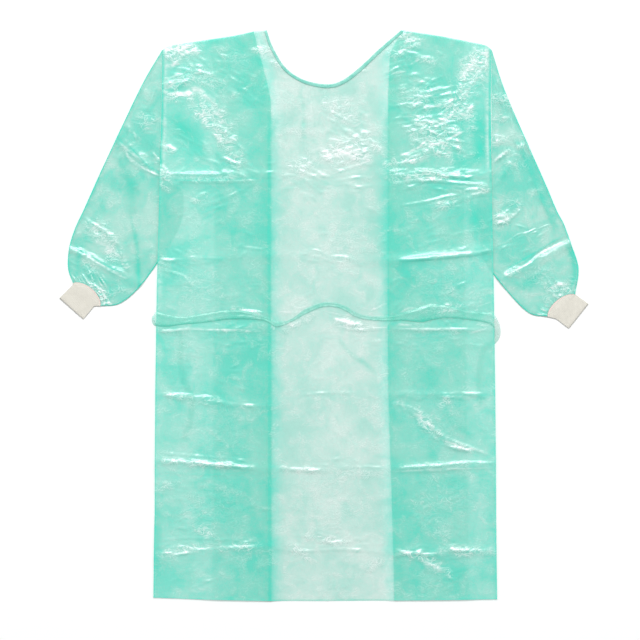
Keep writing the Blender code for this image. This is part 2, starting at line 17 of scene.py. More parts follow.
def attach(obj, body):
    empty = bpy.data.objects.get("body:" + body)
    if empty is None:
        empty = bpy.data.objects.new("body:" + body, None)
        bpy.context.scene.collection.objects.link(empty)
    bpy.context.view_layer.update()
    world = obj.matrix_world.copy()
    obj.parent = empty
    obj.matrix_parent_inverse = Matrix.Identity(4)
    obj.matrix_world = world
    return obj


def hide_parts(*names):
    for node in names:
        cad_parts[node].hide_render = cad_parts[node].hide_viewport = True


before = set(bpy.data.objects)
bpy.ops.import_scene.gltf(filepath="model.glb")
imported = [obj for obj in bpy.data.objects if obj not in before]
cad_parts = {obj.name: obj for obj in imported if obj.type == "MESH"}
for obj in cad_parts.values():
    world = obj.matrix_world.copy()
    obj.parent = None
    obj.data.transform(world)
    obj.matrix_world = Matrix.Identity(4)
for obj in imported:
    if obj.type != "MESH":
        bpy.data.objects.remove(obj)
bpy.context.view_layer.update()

bl_info = {
    "name": "Isolation gown",
    "version": (1, 0, 0),
    "blender": (4, 5, 0),
    "location": "View3D > Sidebar > Gown",
    "description": "Film panels, sleeves, knit cuffs, neck binding and belt of a gown laid flat",
    "category": "Object",
}

MM = 0.001
CLOTH = 1.0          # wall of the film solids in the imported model
DOWN = Vector((0.0, 0.0, -1.0))

Outline = namedtuple("Outline", "y left_side left_fold right_fold right_side")
BODY = tuple(Outline(*row) for row in (
    (-578, -344.5, -107, 143, 350), (-480, -343.6, -106.4, 141, 348.6), (-400, -342, -107.2, 139, 348),
    (-290, -341.6, -106.8, 135, 347.2), (-150, -340.5, -107, 131, 346), (50, -337.5, -108, 130, 343),
    (254, -332, -108, 130, 338.5), (430, -328, -108, 130.4, 337), (446, -327.7, -109.5, 130.6, 337),
    (531, -326.4, -131, 134.5, 337.6), (577, -326, -143.6, 160.6, 338),
))
Edge = namedtuple("Edge", "x y")
HEM = tuple(Edge(*row) for row in (
    (-344.5, -569.5), (-230, -574), (-107, -576.5), (20, -576.3), (143, -575.5), (250, -574.5),
    (350, -573),
))
SHOULDERS = tuple(Edge(*row) for row in (
    (-326, 536), (-318, 542), (-303, 547), (-182, 565), (-143, 573.5), (-116, 576.5), (157, 576.5),
    (162, 575.5), (237, 564.5), (315, 549), (330, 545), (338, 537),
))
NECK_SCOOP = tuple(Edge(*row) for row in (
    (-116, 576.5), (-103, 541), (-77, 500), (-40, 476), (6, 467), (37, 475), (71, 500), (115, 541),
    (157, 576.5),
))
HEM_Y = -573.0               # where the outline is read for the hem
CHEST_Y = 430.0              # rows of the mesh lie level at the chest line
CHEST = BODY[7]
HIP = BODY[4]                # where the back panels' flat widths are taken
# Left and right along X: the armholes' tops, the back folds' tops, and which places on the chest
# line run up to the ends of the neck scoop
SIDE_TOPS = (-326.0, 338.0)
FOLD_TOPS = (-143.0, 160.0)
SCOOP_AT_CHEST = (-118.0, 160.0)
# Where the edges of the back opening lie, as shares of the way from the side to the fold
FLAP_SHARES = (0.49, 0.27)
# What the mesh's rows are counted from: the lengths below the chest line, and the height above it
BACK_LENGTH = 1000.0
FRONT_LENGTH = 1004.0
YOKE_HEIGHT = 140.0
BACK_STEP = 5.6

# Sleeves: lines across the tube from its outer to its inner edge, from the armhole to the cuff
Station = namedtuple("Station", "outer_x outer_y inner_x inner_y")
SLEEVE_LEFT = tuple(Station(*row) for row in (
    (-326.4, 536, -299, 262), (-366, 468, -289, 254), (-417, 361, -285, 242), (-452, 286, -285, 211),
    (-481, 221, -295, 177), (-503, 173, -317, 137), (-514, 135, -370, 62), (-516, 96, -413, 25.5),
    (-506, 66, -451, 20.5),
))
SLEEVE_RIGHT = tuple(Station(*row) for row in (
    (338.4, 537, 317, 250), (366, 452, 312, 242), (410, 349, 310, 224), (445, 270, 312, 193),
    (471, 209, 318, 154), (483, 187, 323, 118), (498, 146, 354, 70), (513.5, 96, 411, 9),
    (506.5, 43, 451.5, -1),
))
ARMHOLE_DEPTH = 266.0
SEAM_SHARE = 0.8             # of the armhole's line: sewn to the side, and the rest is hidden
ARMHOLE_BOW = 2.2            # stations that the armhole's slant reaches down the sleeve
CUFF_BOW = 1.5               # stations that the cuff seam's bow reaches up the sleeve
BOW_ROUNDNESS = 0.7
SLEEVE_ROWS = 168
SLEEVE_COLUMNS = 82
Cuff = namedtuple("Cuff", "free_outer free_inner neck_outer neck_inner bow")
CUFF_LEFT = Cuff((-533.5, 34.6), (-487.0, -6.5), (-506.0, 62.0), (-464.5, 20.5), 15.0)
CUFF_RIGHT = Cuff((533.7, 23.0), (495.5, -25.0), (507.0, 42.0), (470.0, -5.5), 13.0)
CUFF_ROWS = 30
JOIN_ROWS = 2                # rows of a cuff that the overlocked join covers

# In metres, as every flat size and everything of the stage but the floor's mesh
CAMERA_PLACE = (-0.0079, -0.0089, 4.0)
CAMERA_LENS = 111.33

# The belt's two edges, how high its bunched film stands at each, and whether it is over the
# front (1) or on the surface under the gown (0)
BeltPoint = namedtuple("BeltPoint", "upper_x upper_y lower_x lower_y upper_bead lower_bead over")
BELT = tuple(BeltPoint(*row) for row in (
    (-277, -256, -289, -256, 0.6, 0.6, 0), (-264.5, -211, -275.5, -211, 0.6, 0.6, 0),
    (-261.5, -166, -272.5, -166, 0.7, 0.6, 0), (-278, -127, -288, -132, 0.6, 0.6, 0),
    (-286, -82, -296, -82, 0.6, 0.6, 0), (-284, -43, -292, -49, 0.6, 0.6, 0),
    (-305, -24.5, -307, -31.5, 0.7, 0.7, 0), (-331, -18.8, -331, -23.2, 0.9, 0.9, 0),
    (-342, -16.6, -342.4, -20.2, 1.1, 1.1, 0), (-344.6, -9.6, -347, -13, 1.5, 1.6, 0.35),
    (-343.5, 1, -346.2, -2, 1.9, 2, 0.85), (-337.5, 6, -338.5, -19, 1.5, 2.2, 1),
    (-312, -0.5, -316, -21.5, 1.2, 2.1, 1), (-283, -3.2, -290, -18, 1.3, 2.1, 1),
    (-236, 4, -240, -13.5, 1.4, 2.2, 1), (-190, 10.2, -192, -7, 1.5, 2.3, 1),
    (-150, 6.5, -151, -6, 1.7, 2.6, 1), (-116, -3.5, -117, -11.5, 2, 2.8, 1),
    (-94, -12, -97, -22.5, 2.2, 2.8, 1), (-68, -8, -73, -16, 2.8, 2.9, 1),
    (-39, 12, -34, 4.6, 3.1, 2.9, 1), (-6, 25, -4, 17, 3.2, 3, 1), (22, 25.5, 22, 17.4, 3.2, 3, 1),
    (46, 17.6, 42, 10.6, 3.2, 3, 1), (68, 4.6, 64, -2.6, 3.1, 2.9, 1), (94, -1.6, 93, -9, 2.9, 2.7, 1),
    (132, -1.2, 132, -10.8, 2.6, 2.5, 1), (162, 5.6, 164, -9.4, 2.4, 1.9, 1),
    (192, 15, 196, -12, 2.3, 1.7, 1), (217, 21.6, 224, -6, 2.2, 1.9, 1),
    (246, 19.2, 256, -3.6, 2, 2.1, 1), (290, 10, 292, -7.6, 1.8, 2.1, 1),
    (322, 5.8, 322, -12.4, 1.7, 2, 1), (340, 3.6, 338, -18, 1.7, 1.9, 1),
    (351.8, -12, 343, -24, 1.8, 1.5, 0.95), (356.4, -31, 344.6, -33, 1.6, 1, 0.6),
    (353, -48, 344, -43, 1.2, 0.8, 0.2), (342, -60, 337, -51.5, 0.8, 0.8, 0),
    (328, -69, 320, -64, 0.6, 0.6, 0), (321, -95, 311, -95, 0.6, 0.6, 0),
    (318, -140, 308, -140, 0.6, 0.6, 0), (321, -185, 311, -185, 0.6, 0.6, 0),
))

# Creases in the film: a path, how high the crest stands, and how wide its slopes are on the side
# that its path has to its left and on the other
Crease = namedtuple("Crease", "path height left right")


def crease_rows(*rows):
    """Creases from rows: a path's points, a height, and one width or one for each side."""
    made = []
    for row in rows:
        path = tuple(part for part in row if isinstance(part, tuple))
        height, left, *right = row[len(path):]
        made.append(Crease(path, height, left, *(right or (left,))))
    return tuple(made)


BODY_CREASES = crease_rows(
    ((-311, 286), (-240, 285), (-188, 286), 1.6, 3.4, 4.2),
    ((-295, 271), (-230, 270), (-133, 272), 1.8, 3.4, 4.2),
    ((-331, 277), (-250, 275), (-149, 279), 1, 4.2),
    ((-263, 205), (-244, 222), (-206, 236), (-170, 252), (-141, 268), 1, 2.9, 8.5),
    ((-125, 292), (-109, 282), (-97, 276), 0.8, 3.4),
    ((150, 270), (184, 272), (235, 270), (295, 266), (330, 265), 2, 4.2),
    ((158, 288), (214, 290), (255, 280), (330, 278), 1.6, 4.2, 3.4),
    ((152, 250), (204, 272), 1.2, 3.4, 4.2),
    ((154, 222), (214, 232), (265, 246), (307, 256), (330, 262), 1.8, 3.4, 6),
    ((202, 215), (255, 224), (295, 242), (324, 250), 1.2, 3.4, 4.2),
    ((251, 157), (275, 167), (307, 171), (330, 181), 0.8, 3.4, 6.8),
    ((-36, 300), (-12, 290), (12, 278), 1.4, 3.4, 5.1),
    ((16, 286), (57, 300), (95, 306), 1.2, 3.4, 4.2), ((18, 272), (73, 280), (97, 276), 1.2, 3.4, 4.2),
    ((-56, 250), (-24, 240), (-12, 228), 1, 3.4, 5.1),
    ((-97, 272), (-69, 284), (-24, 270), 0.9, 3.4, 5.1),
    ((148, 110), (194, 113), (255, 118), (305, 123), (340, 131), 3.2, 10.2, 2.9),
    ((-335, 114), (-311, 112), (-283, 113), 1.4, 3.4),
    ((-279, 112), (-230, 116), (-190, 114), 0.8, 3.4, 4.2),
    ((-170, 139), (-139, 135), (-117, 133), 1.2, 3.4),
    ((-32, 135), (-12, 131), (12, 120), 1.2, 3.4, 4.2),
    ((12, 120), (43, 118), (61, 110), 1.6, 3.4, 4.2),
    ((-335, 92), (-311, 88), (-283, 80), (-271, 64), (-254, 56), 1.4, 3.4, 5.1),
    ((-291, 84), (-279, 68), (-261, 58), 1.2, 2.9, 4.2),
    ((-337, -31), (-307, -31), (-275, -27), 1.6, 3, 3.4),
    ((-275, -29), (-200, -31), (-125, -31), 0.6, 3), ((-186, 9), (-149, 7), (-117, 6), 1.6, 3.4),
    ((134, -27), (194, -29), (265, -28), (340, -31), 1.7, 3.4, 4.2),
    ((162, 5), (194, 9), (218, 23), 1.4, 3.4), ((-113, -11), (-101, -21), (-89, -29), 1.2, 3.4),
    ((-56, 7), (-42, 15), (-28, 23), 1, 3.4), ((22, -7), (53, -17), (85, -19), 1.6, 4.2, 5.1),
    ((28, -25), (63, -29), (123, -27), 1.4, 3.4, 4.2),
    ((-337, -158), (-301, -162), (-250, -171), 1.2, 3.4, 4.2),
    ((-250, -171), (-180, -179), (-119, -183), 1.2, 3.4, 5.1),
    ((-48, -160), (8, -156), (63, -156), 1.4, 4.2, 5.1),
    ((166, -160), (235, -158), (336, -158), 0.6, 3.4),
    ((136, -177), (184, -191), (235, -241), (305, -270), (346, -288), 2, 5.1, 4.2),
    ((-337, -292), (-250, -298), (-133, -310), 1.7, 3.4, 4.2),
    ((-337, -276), (-271, -282), (-200, -288), 1.2, 3.4, 4.2),
    ((-89, -308), (-48, -312), (12, -312), 1.2, 4.2), ((22, -312), (73, -306), (130, -308), 1.2, 4.2),
    ((144, -308), (214, -304), (295, -297), (346, -298), 1.6, 3.4, 4.2),
    ((146, -316), (214, -314), (285, -308), (342, -308), 0.9, 3.4),
    ((-337, -494), (-281, -480), (-220, -470), (-170, -468), (-119, -466), 1.2, 3.4, 4.2),
    ((-331, -454), (-271, -449), (-210, -454), 1.2, 4.2),
    ((-99, -470), (-38, -476), (33, -472), (113, -478), 1.4, 5.1, 4.2),
    ((148, -476), (178, -480), (204, -474), 1.6, 4.2),
    ((162, -480), (194, -496), (231, -508), 1.3, 4.2),
    ((231, -468), (285, -474), (346, -474), 1.4, 3.4, 4.2),
)

SLEEVE_CREASES = crease_rows(
    ((-416, 356), (-398, 341), (-380, 324), (-358, 302), (-329, 284), -1.2, 3.4),
    ((-404, 337), (-396, 319), (-376, 301), (-351, 289), (-331, 279), 1.8, 3, 4.2),
    ((-426, 367), (-418, 351), (-400, 335), 1.6, 3.4, 4.2),
    ((-394, 374), (-380, 362), (-368, 352), 0.6, 3.4),
    ((-347, 331), (-335, 316), (-325, 308), 1.6, 3.4, 4.2),
    ((-484, 129), (-459, 111), (-426, 92), (-399, 76), -1.2, 3.4),
    ((-436, 167), (-416, 145), (-396, 92), 1, 4.2, 6.8),
    ((-444, 173), (-428, 153), (-408, 141), 1.2, 4.2),
    ((-408, 108), (-398, 100), (-392, 88), 1.8, 3.4, 4.2),
    ((338, 304), (356, 319), (378, 335), 3, 5.1, 3.4),
    ((386, 337), (398, 341), (410, 344), 2, 4.2, 3.4),
    ((356, 80), (410, 107), (437, 129), (467, 145), (494, 159), -1.2, 3.4),
    ((340, 185), (366, 189), (400, 213), 2, 5.1), ((366, 335), (384, 371), (396, 399), 1, 6.8, 5.1),
)

# Crumpled patches: centre, half length and half width, the angle of their streaks from X, the
# spacing of the streaks and how high they stand
Patch = namedtuple("Patch", "x y long wide angle spacing height")
BODY_PATCHES = tuple(Patch(*row) for row in (
    (-287, 533, 49, 20, 14, 8, 1.1), (-303, 521, 24, 16, -50, 7, 1), (-279, 480, 40, 20, 14, 8, 0.8),
    (-291, 440, 44, 16, -12, 8, 1), (-230, 411, 53, 28, -38, 9, 1.5), (-198, 355, 36, 24, -60, 9, 1.2),
    (-178, 314, 28, 20, -30, 9, 0.8), (-113, 533, 12, 44, 80, 8, 0.8), (-73, 436, 24, 40, 70, 10, 0.5),
    (33, 416, 53, 28, -30, 12, 0.8), (53, 335, 81, 36, 10, 11, 1), (-48, 304, 40, 24, 30, 11, 0.8),
    (299, 492, 36, 49, -20, 8, 1.3), (271, 416, 28, 57, 60, 9, 1.3), (214, 379, 53, 32, 10, 10, 1.2),
    (194, 440, 44, 32, 5, 11, 0.8), (235, 339, 57, 28, -14, 9, 1.2), (174, 547, 32, 16, 25, 9, 0.8),
    (146, 284, 20, 28, 40, 9, 0.8), (-321, 278, 16, 28, 20, 7, 1), (315, 254, 24, 12, 16, 6, 1),
    (243, 224, 36, 16, 16, 8, 0.8), (53, -19, 36, 12, -16, 6, 1.2), (-149, 7, 36, 8, -12, 6, 0.9),
    (235, 13, 73, 12, 8, 8, 0.8), (-48, -13, 40, 12, 28, 7, 0.8), (43, 143, 61, 61, 60, 14, 0.5),
    (-250, 52, 61, 53, -40, 14, 0.5), (235, 52, 61, 53, 40, 14, 0.35),
    (-230, -231, 81, 81, 30, 15, 0.3), (235, -211, 73, 81, -30, 15, 0.3),
    (12, -373, 81, 101, 70, 15, 0.4), (235, -373, 73, 73, -20, 14, 0.35),
    (-230, -393, 81, 73, 20, 14, 0.35), (-240, 395, 32, 16, -40, 7, 1.3),
    (-214, 375, 24, 16, -50, 6, 1.4), (-240, 480, 69, 20, -28, 9, 0.7),
    (-180, 521, 44, 20, -30, 10, 0.5), (-309, 335, 18, 10, -25, 6, 1.1),
    (-301, 464, 32, 12, 16, 6, 0.9), (-93, 508, 12, 24, 70, 7, 0.8), (-52, 375, 16, 61, 86, 9, 0.5),
    (144, 527, 16, 20, 60, 7, 0.7), (162, 567, 24, 12, 35, 7, 1), (202, 517, 32, 10, -10, 7, 0.8),
    (311, 517, 24, 28, -30, 6, 1.2), (281, 452, 28, 28, 40, 7, 1.2), (249, 411, 20, 16, 50, 6, 1.3),
    (255, 375, 40, 16, -20, 7, 1.2), (223, 363, 24, 24, 60, 7, 1.2), (164, 314, 49, 12, 12, 7, 0.9),
    (53, 321, 53, 16, 8, 7, 1), (218, 282, 69, 14, 2, 6, 1), (-240, 278, 89, 12, -1, 7, 0.6),
    (-250, 238, 28, 10, 25, 7, 0.7), (-307, -33, 36, 8, -4, 6, 0.5), (-200, -31, 81, 8, 0, 6, 0.3),
    (235, -31, 101, 10, -1, 6, 0.4), (-295, -162, 40, 8, -6, 6, 0.8), (-230, -167, 24, 8, -8, 6, 0.9),
    (-250, -298, 101, 10, -4, 6, 1), (235, -302, 101, 10, 3, 6, 0.6), (210, -221, 44, 16, -42, 7, 0.9),
    (275, -264, 44, 8, -18, 6, 0.9), (247, -173, 20, 12, 30, 6, 0.9), (-281, -472, 61, 12, 10, 6, 0.8),
    (-170, -468, 53, 10, 4, 6, 0.9), (190, -486, 49, 12, -12, 7, 0.9), (227, -506, 40, 14, -30, 7, 0.9),
    (285, -476, 65, 14, 0, 6, 0.9), (12, -454, 49, 12, -12, 6, 1), (-242, -435, 16, 24, 60, 6, 0.9),
    (-315, -344, 24, 12, 20, 6, 0.9), (-48, -478, 32, 12, -35, 7, 1), (97, -504, 40, 14, 35, 7, 0.7),
    (235, -433, 32, 28, -40, 7, 0.6), (63, -320, 61, 12, 0, 7, 0.7), (-38, -312, 40, 8, 0, 6, 0.9),
))

SLEEVE_PATCHES = tuple(Patch(*row) for row in (
    (-362, 395, 28, 24, -25, 9, 0.8), (-386, 343, 20, 12, -40, 7, 0.3),
    (-453, 173, 36, 28, -30, 11, 0.9), (-428, 122, 28, 28, -40, 9, 1.2),
    (-463, 52, 44, 20, -25, 8, 1.2), (-473, 96, 20, 28, 30, 9, 0.8), (356, 436, 16, 44, 75, 8, 1.2),
    (350, 359, 12, 28, 70, 8, 1), (356, 197, 28, 20, 20, 9, 1), (386, 314, 28, 32, 50, 11, 0.6),
    (477, 52, 36, 24, 25, 8, 1.3), (437, 82, 40, 28, 30, 11, 0.6), (-396, 331, 24, 8, -42, 6, 0.3),
    (-355, 298, 32, 8, -32, 6, 0.3), (-331, 312, 12, 8, -20, 5, 1.1), (-469, 116, 40, 10, -30, 6, 0.45),
    (-416, 96, 24, 14, -40, 7, 0.5), (-436, 157, 32, 16, -35, 7, 0.9), (-493, 131, 16, 8, -30, 6, 0.9),
    (-428, 46, 28, 12, 20, 6, 0.9), (356, 399, 16, 20, 80, 6, 1), (344, 351, 10, 16, 70, 6, 1.2),
    (380, 88, 24, 8, 29, 6, 0.8), (360, 189, 24, 10, 15, 6, 1), (386, 224, 16, 20, 60, 7, 0.8),
    (487, 60, 28, 14, 25, 6, 1.3), (453, 64, 16, 12, 60, 6, 0.9),
))

# Fields of fine parallel creases, in the same columns
BODY_STREAKS = tuple(Patch(*row) for row in (
    (-206, 492, 77, 32, -30, 7, 0.7), (-291, 472, 32, 16, 14, 6, 0.9), (-281, 492, 40, 20, -10, 7, 0.5),
    (-180, 436, 53, 44, -35, 9, 0.5), (-206, 335, 40, 49, -45, 7, 0.8),
    (-178, 298, 49, 20, -25, 7, 0.7), (-291, 355, 32, 40, -40, 10, 0.4), (-79, 395, 61, 18, 82, 9, 0.6),
    (-32, 399, 57, 16, 86, 8, 0.6), (43, 395, 49, 40, -30, 9, 0.6), (53, 335, 61, 24, 25, 8, 0.8),
    (12, 264, 81, 20, 0, 9, 0.6), (-48, 284, 40, 20, -35, 8, 0.7), (174, 533, 36, 16, -10, 6, 0.9),
    (154, 496, 24, 20, 20, 7, 0.8), (178, 480, 24, 12, -10, 6, 0.8), (214, 416, 69, 49, 10, 8, 0.9),
    (194, 456, 40, 24, 20, 8, 0.7), (287, 452, 49, 32, 50, 7, 0.8), (227, 363, 61, 36, -20, 7, 1),
    (178, 314, 40, 16, 25, 6, 0.9), (235, 282, 97, 18, -2, 6, 0.8), (235, 262, 93, 14, -3, 6, 0.7),
    (265, 234, 61, 16, 14, 6, 0.7), (214, 183, 73, 28, 25, 10, 0.5), (235, 153, 61, 20, 18, 10, 0.4),
    (174, 52, 61, 32, 50, 10, 0.5), (275, 32, 61, 40, 30, 9, 0.6), (-230, 234, 81, 28, 20, 9, 0.5),
    (-190, 213, 61, 20, 35, 9, 0.4), (-301, 82, 40, 24, -25, 7, 0.6), (-250, 108, 81, 10, 0, 7, 0.6),
    (-220, 52, 101, 32, 5, 10, 0.4), (-230, -59, 101, 24, 0, 9, 0.5), (-271, -100, 49, 32, 70, 10, 0.4),
    (-230, -130, 101, 28, -8, 10, 0.4), (-226, -171, 101, 10, -6, 6, 0.7),
    (-240, -231, 73, 49, 60, 12, 0.4), (-234, -296, 101, 12, -4, 6, 0.7),
    (-250, -352, 93, 28, 0, 10, 0.5), (-230, -403, 101, 28, 10, 11, 0.4),
    (-240, -464, 101, 18, 6, 7, 0.8), (-240, -524, 93, 28, 20, 11, 0.4), (12, 112, 61, 12, -12, 7, 0.6),
    (-38, 32, 53, 28, 55, 10, 0.5), (53, -49, 69, 16, -5, 8, 0.6), (-8, -130, 81, 61, 60, 13, 0.4),
    (33, -231, 81, 53, -60, 13, 0.4), (12, -302, 101, 14, 3, 7, 0.6), (12, -373, 81, 49, 60, 13, 0.4),
    (12, -454, 101, 24, 0, 9, 0.6), (33, -534, 81, 24, 40, 12, 0.4), (235, -59, 93, 20, -3, 9, 0.6),
    (194, -120, 49, 32, -60, 10, 0.5), (235, -160, 101, 10, 0, 6, 0.7),
    (204, -221, 53, 16, -42, 6, 0.9), (275, -264, 49, 10, -18, 6, 0.8), (235, -306, 97, 12, 2, 6, 0.45),
    (235, -363, 89, 28, 30, 10, 0.5), (235, -433, 61, 32, -40, 9, 0.6), (235, -478, 97, 16, 0, 6, 0.8),
    (214, -510, 61, 16, -25, 7, 0.7), (275, -534, 61, 20, 30, 10, 0.5),
))

SLEEVE_STREAKS = tuple(Patch(*row) for row in (
    (-351, 456, 49, 18, 68, 8, 0.7), (-362, 399, 36, 28, -15, 8, 0.6), (-380, 365, 36, 16, -38, 6, 0.5),
    (-355, 314, 32, 12, -35, 6, 0.4), (-432, 254, 73, 24, 65, 11, 0.5),
    (-372, 234, 69, 16, 85, 11, 0.4), (-453, 163, 49, 28, -35, 8, 0.7),
    (-453, 104, 57, 12, -30, 6, 0.5), (-457, 66, 40, 24, -62, 6, 1), (356, 436, 57, 14, -72, 7, 0.9),
    (396, 335, 28, 24, -65, 8, 0.6), (366, 209, 32, 20, 25, 7, 0.8), (427, 234, 61, 24, -65, 11, 0.5),
    (396, 153, 61, 16, 24, 8, 0.6), (417, 108, 69, 10, 28, 6, 0.5), (396, 72, 49, 16, 30, 8, 0.6),
    (481, 56, 32, 24, -58, 6, 1),
))

# Bands in the columns of the creases whose height is a share: shades, painted shade beside creases and
# in darker patches where the film is made deeper, and glares, painted highlights where it is made pale
BODY_SHADES = crease_rows(
    ((-315, 403), (-291, 383), (-263, 351), (-238, 310), 0.75, 34),
    ((-331, 242), (-325, 217), (-327, 193), 0.3, 14), ((-186, 209), (-184, 153), (-186, 96), 0.3, 14),
    ((-210, 266), (-208, 169), 0.2, 14), ((-335, -373), (-335, -464), (-335, -555), 0.35, 14),
    ((-161, -312), (-149, -373), (-133, -433), (-121, -494), 0.35, 14),
    ((210, 521), (235, 484), (255, 444), 0.4, 24),
    ((283, 298), (311, 323), (320, 367), (303, 411), 0.8, 34, 30),
    ((259, 331), (279, 302), (295, 274), 0.5, 20), ((291, 230), (307, 201), (303, 153), 0.7, 18, 20),
    ((154, 108), (174, 72), (158, 32), 0.5, 22), ((178, -74), (202, -118), (235, -167), 0.4, 28),
    ((235, -179), (267, -219), (303, -247), 0.5, 16, 12), ((150, -494), (154, -555), 0.4, 20),
    ((251, -522), (291, -518), 0.35, 22), ((31, -45), (51, -74), (85, -98), (107, -120), 0.3, 8),
    ((-321, 274), (-240, 273), (-125, 278), 0.8, 4), ((235, 275), (285, 273), (332, 272), 0.7, 3.5),
    ((194, 260), (255, 257), (328, 259), 0.4, 3.5),
    ((-337, -314), (-240, -321), (-143, -316), 0.5, 3.5),
    ((225, -160), (285, -160), (340, -160), 0.5, 3.5), ((269, 460), (295, 463), (324, 466), 0.6, 3.5),
    ((-48, 456), (-42, 416), (-40, 355), 0.25, 8), ((-12, 274), (12, 266), 0.3, 8),
)

BODY_GLARES = crease_rows(
    ((-325, 533), (-307, 543), (-271, 539), (-252, 529), 0.9, 8, 10),
    ((-319, 508), (-307, 504), (-295, 517), 0.8, 6), ((-319, 478), (-283, 490), 0.6, 3),
    ((-321, 466), (-287, 476), 0.6, 3),
    ((-321, 450), (-283, 448), (-258, 458), (-238, 444), (-222, 428), 0.9, 8, 10),
    ((-267, 432), (-250, 411), (-238, 391), 0.5, 12), ((-222, 416), (-202, 387), 0.6, 8),
    ((-226, 379), (-206, 351), 0.5, 8), ((-319, 347), (-307, 341), (-295, 335), 0.9, 4),
    ((-135, 561), (-127, 541), (-119, 517), 0.55, 9), ((162, 553), (178, 561), (196, 547), 0.7, 8),
    ((150, 533), (178, 543), 0.8, 3.5), ((174, 506), (194, 519), 0.8, 3),
    ((134, 488), (168, 494), 0.7, 3), ((168, 476), (190, 472), (206, 474), 0.7, 3),
    ((192, 442), (220, 444), 0.7, 3), ((160, 403), (198, 403), 0.7, 3),
    ((200, 420), (239, 424), 0.7, 3), ((249, 432), (271, 442), 0.7, 3),
    ((233, 387), (257, 405), (259, 420), 0.6, 4), ((289, 411), (303, 426), 0.6, 4),
    ((279, 468), (291, 500), (315, 525), 0.55, 15), ((324, 537), (328, 517), 0.6, 10),
    ((210, 341), (243, 355), 0.6, 10, 8), ((235, 347), (293, 379), 0.7, 3.5),
    ((152, 323), (190, 339), (212, 359), 0.8, 4), ((154, 306), (202, 314), 0.5, 7),
    ((-4, 314), (33, 329), (77, 319), (101, 306), 0.75, 15, 12),
    ((22, 401), (59, 383), (81, 395), 0.6, 3.5), ((33, 440), (65, 444), 0.4, 12),
    ((-36, 466), (-26, 426), (-24, 355), 0.5, 4), ((16, 286), (57, 300), (95, 314), 0.8, 3),
    ((-28, 331), (-4, 339), (12, 323), 0.6, 8), ((-333, 100), (-331, 64), (-331, 32), 0.4, 9),
    ((138, -179), (154, -173), (166, -191), 0.5, 8), ((178, -189), (202, -211), (223, -233), 0.45, 10),
    ((243, -253), (279, -266), (311, -272), (338, -284), 0.8, 5, 3),
    ((138, -315), (235, -310), (340, -308), 0.5, 3), ((150, -476), (174, -480), (202, -474), 0.5, 6),
    ((194, -494), (218, -504), (243, -518), 0.4, 8),
    ((287, -312), (315, -373), (328, -433), 0.25, 24, 20),
    ((295, -140), (315, -191), (324, -231), 0.25, 20),
    ((-291, -365), (-271, -393), (-279, -433), 0.25, 22),
    ((-271, -142), (-258, -100), (-267, -49), 0.3, 22),
    ((-295, -211), (-271, -239), (-291, -276), 0.2, 20), ((-267, -546), (-242, -559), 0.3, 20),
    ((-93, 452), (-89, 395), (-87, 314), 0.25, 10), ((22, -6), (49, -12), (77, -20), 0.75, 8),
    ((24, -22), (57, -24), 0.7, 3), ((0, 9), (28, 3), (53, -5), 0.6, 3),
    ((67, -16), (101, -24), (128, -23), 0.75, 3), ((65, 21), (93, 12), (128, 25), 0.7, 3.2),
    ((-91, 8), (-64, 7), (-42, 8), 0.75, 3), ((-69, 25), (-54, 16), (-34, 19), 0.65, 3),
    ((-75, -14), (-58, -22), 0.65, 3), ((-107, -15), (-99, -29), 0.7, 3.2),
    ((-337, -30), (-307, -31), (-275, -27), (-200, -29), (-125, -31), 0.75, 3.2),
    ((156, 7), (170, 15), (190, 14), 0.7, 3.5), ((156, -2), (170, 2), 0.7, 3),
    ((196, 14), (218, 24), 0.8, 3.2), ((214, -4), (237, -2), 0.8, 3),
    ((237, 8), (251, 10), (275, 9), 0.7, 3.2), ((279, 6), (305, 9), (313, 19), (338, 28), 0.6, 3),
    ((148, -17), (178, -20), 0.7, 3.2), ((154, -26), (210, -28), (287, -28), 0.6, 3.2),
    ((295, -35), (311, -31), (330, -25), 0.6, 3.2), ((307, -18), (332, -20), 0.6, 3),
    ((-202, -29), (-194, -37), 0.6, 3), ((-157, -30), (-151, -37), 0.6, 3),
    ((-319, 21), (-287, 9), 0.4, 8),
)

SLEEVE_SHADES = crease_rows(
    ((-416, 359), (-398, 344), (-380, 327), (-358, 305), (-329, 287), 0.9, 3.2),
    ((-416, 329), (-404, 298), (-390, 258), (-388, 203), 0.65, 24, 22),
    ((-392, 209), (-378, 143), (-374, 82), (-372, 32), (-380, 3), 0.75, 7, 8),
    ((-501, 138), (-465, 117), (-444, 104), (-411, 86), 0.9, 3.4),
    ((352, 86), (396, 109), (447, 140), (487, 164), 0.8, 4),
    ((-428, 319), (-416, 343), (-400, 383), 0.45, 12), ((-481, 104), (-465, 80), (-428, 64), 0.6, 12),
    ((-355, 353), (-331, 331), 0.4, 9), ((-503, 153), (-495, 122), (-501, 72), 0.45, 9),
    ((388, 355), (412, 304), (439, 238), (469, 163), 0.65, 17, 7),
    ((489, 147), (503, 116), (507, 82), (497, 52), 0.9, 12), ((362, 460), (370, 416), 0.45, 9),
    ((364, 331), (364, 270), 0.45, 9), ((376, 60), (412, 64), (437, 88), 0.6, 14),
)

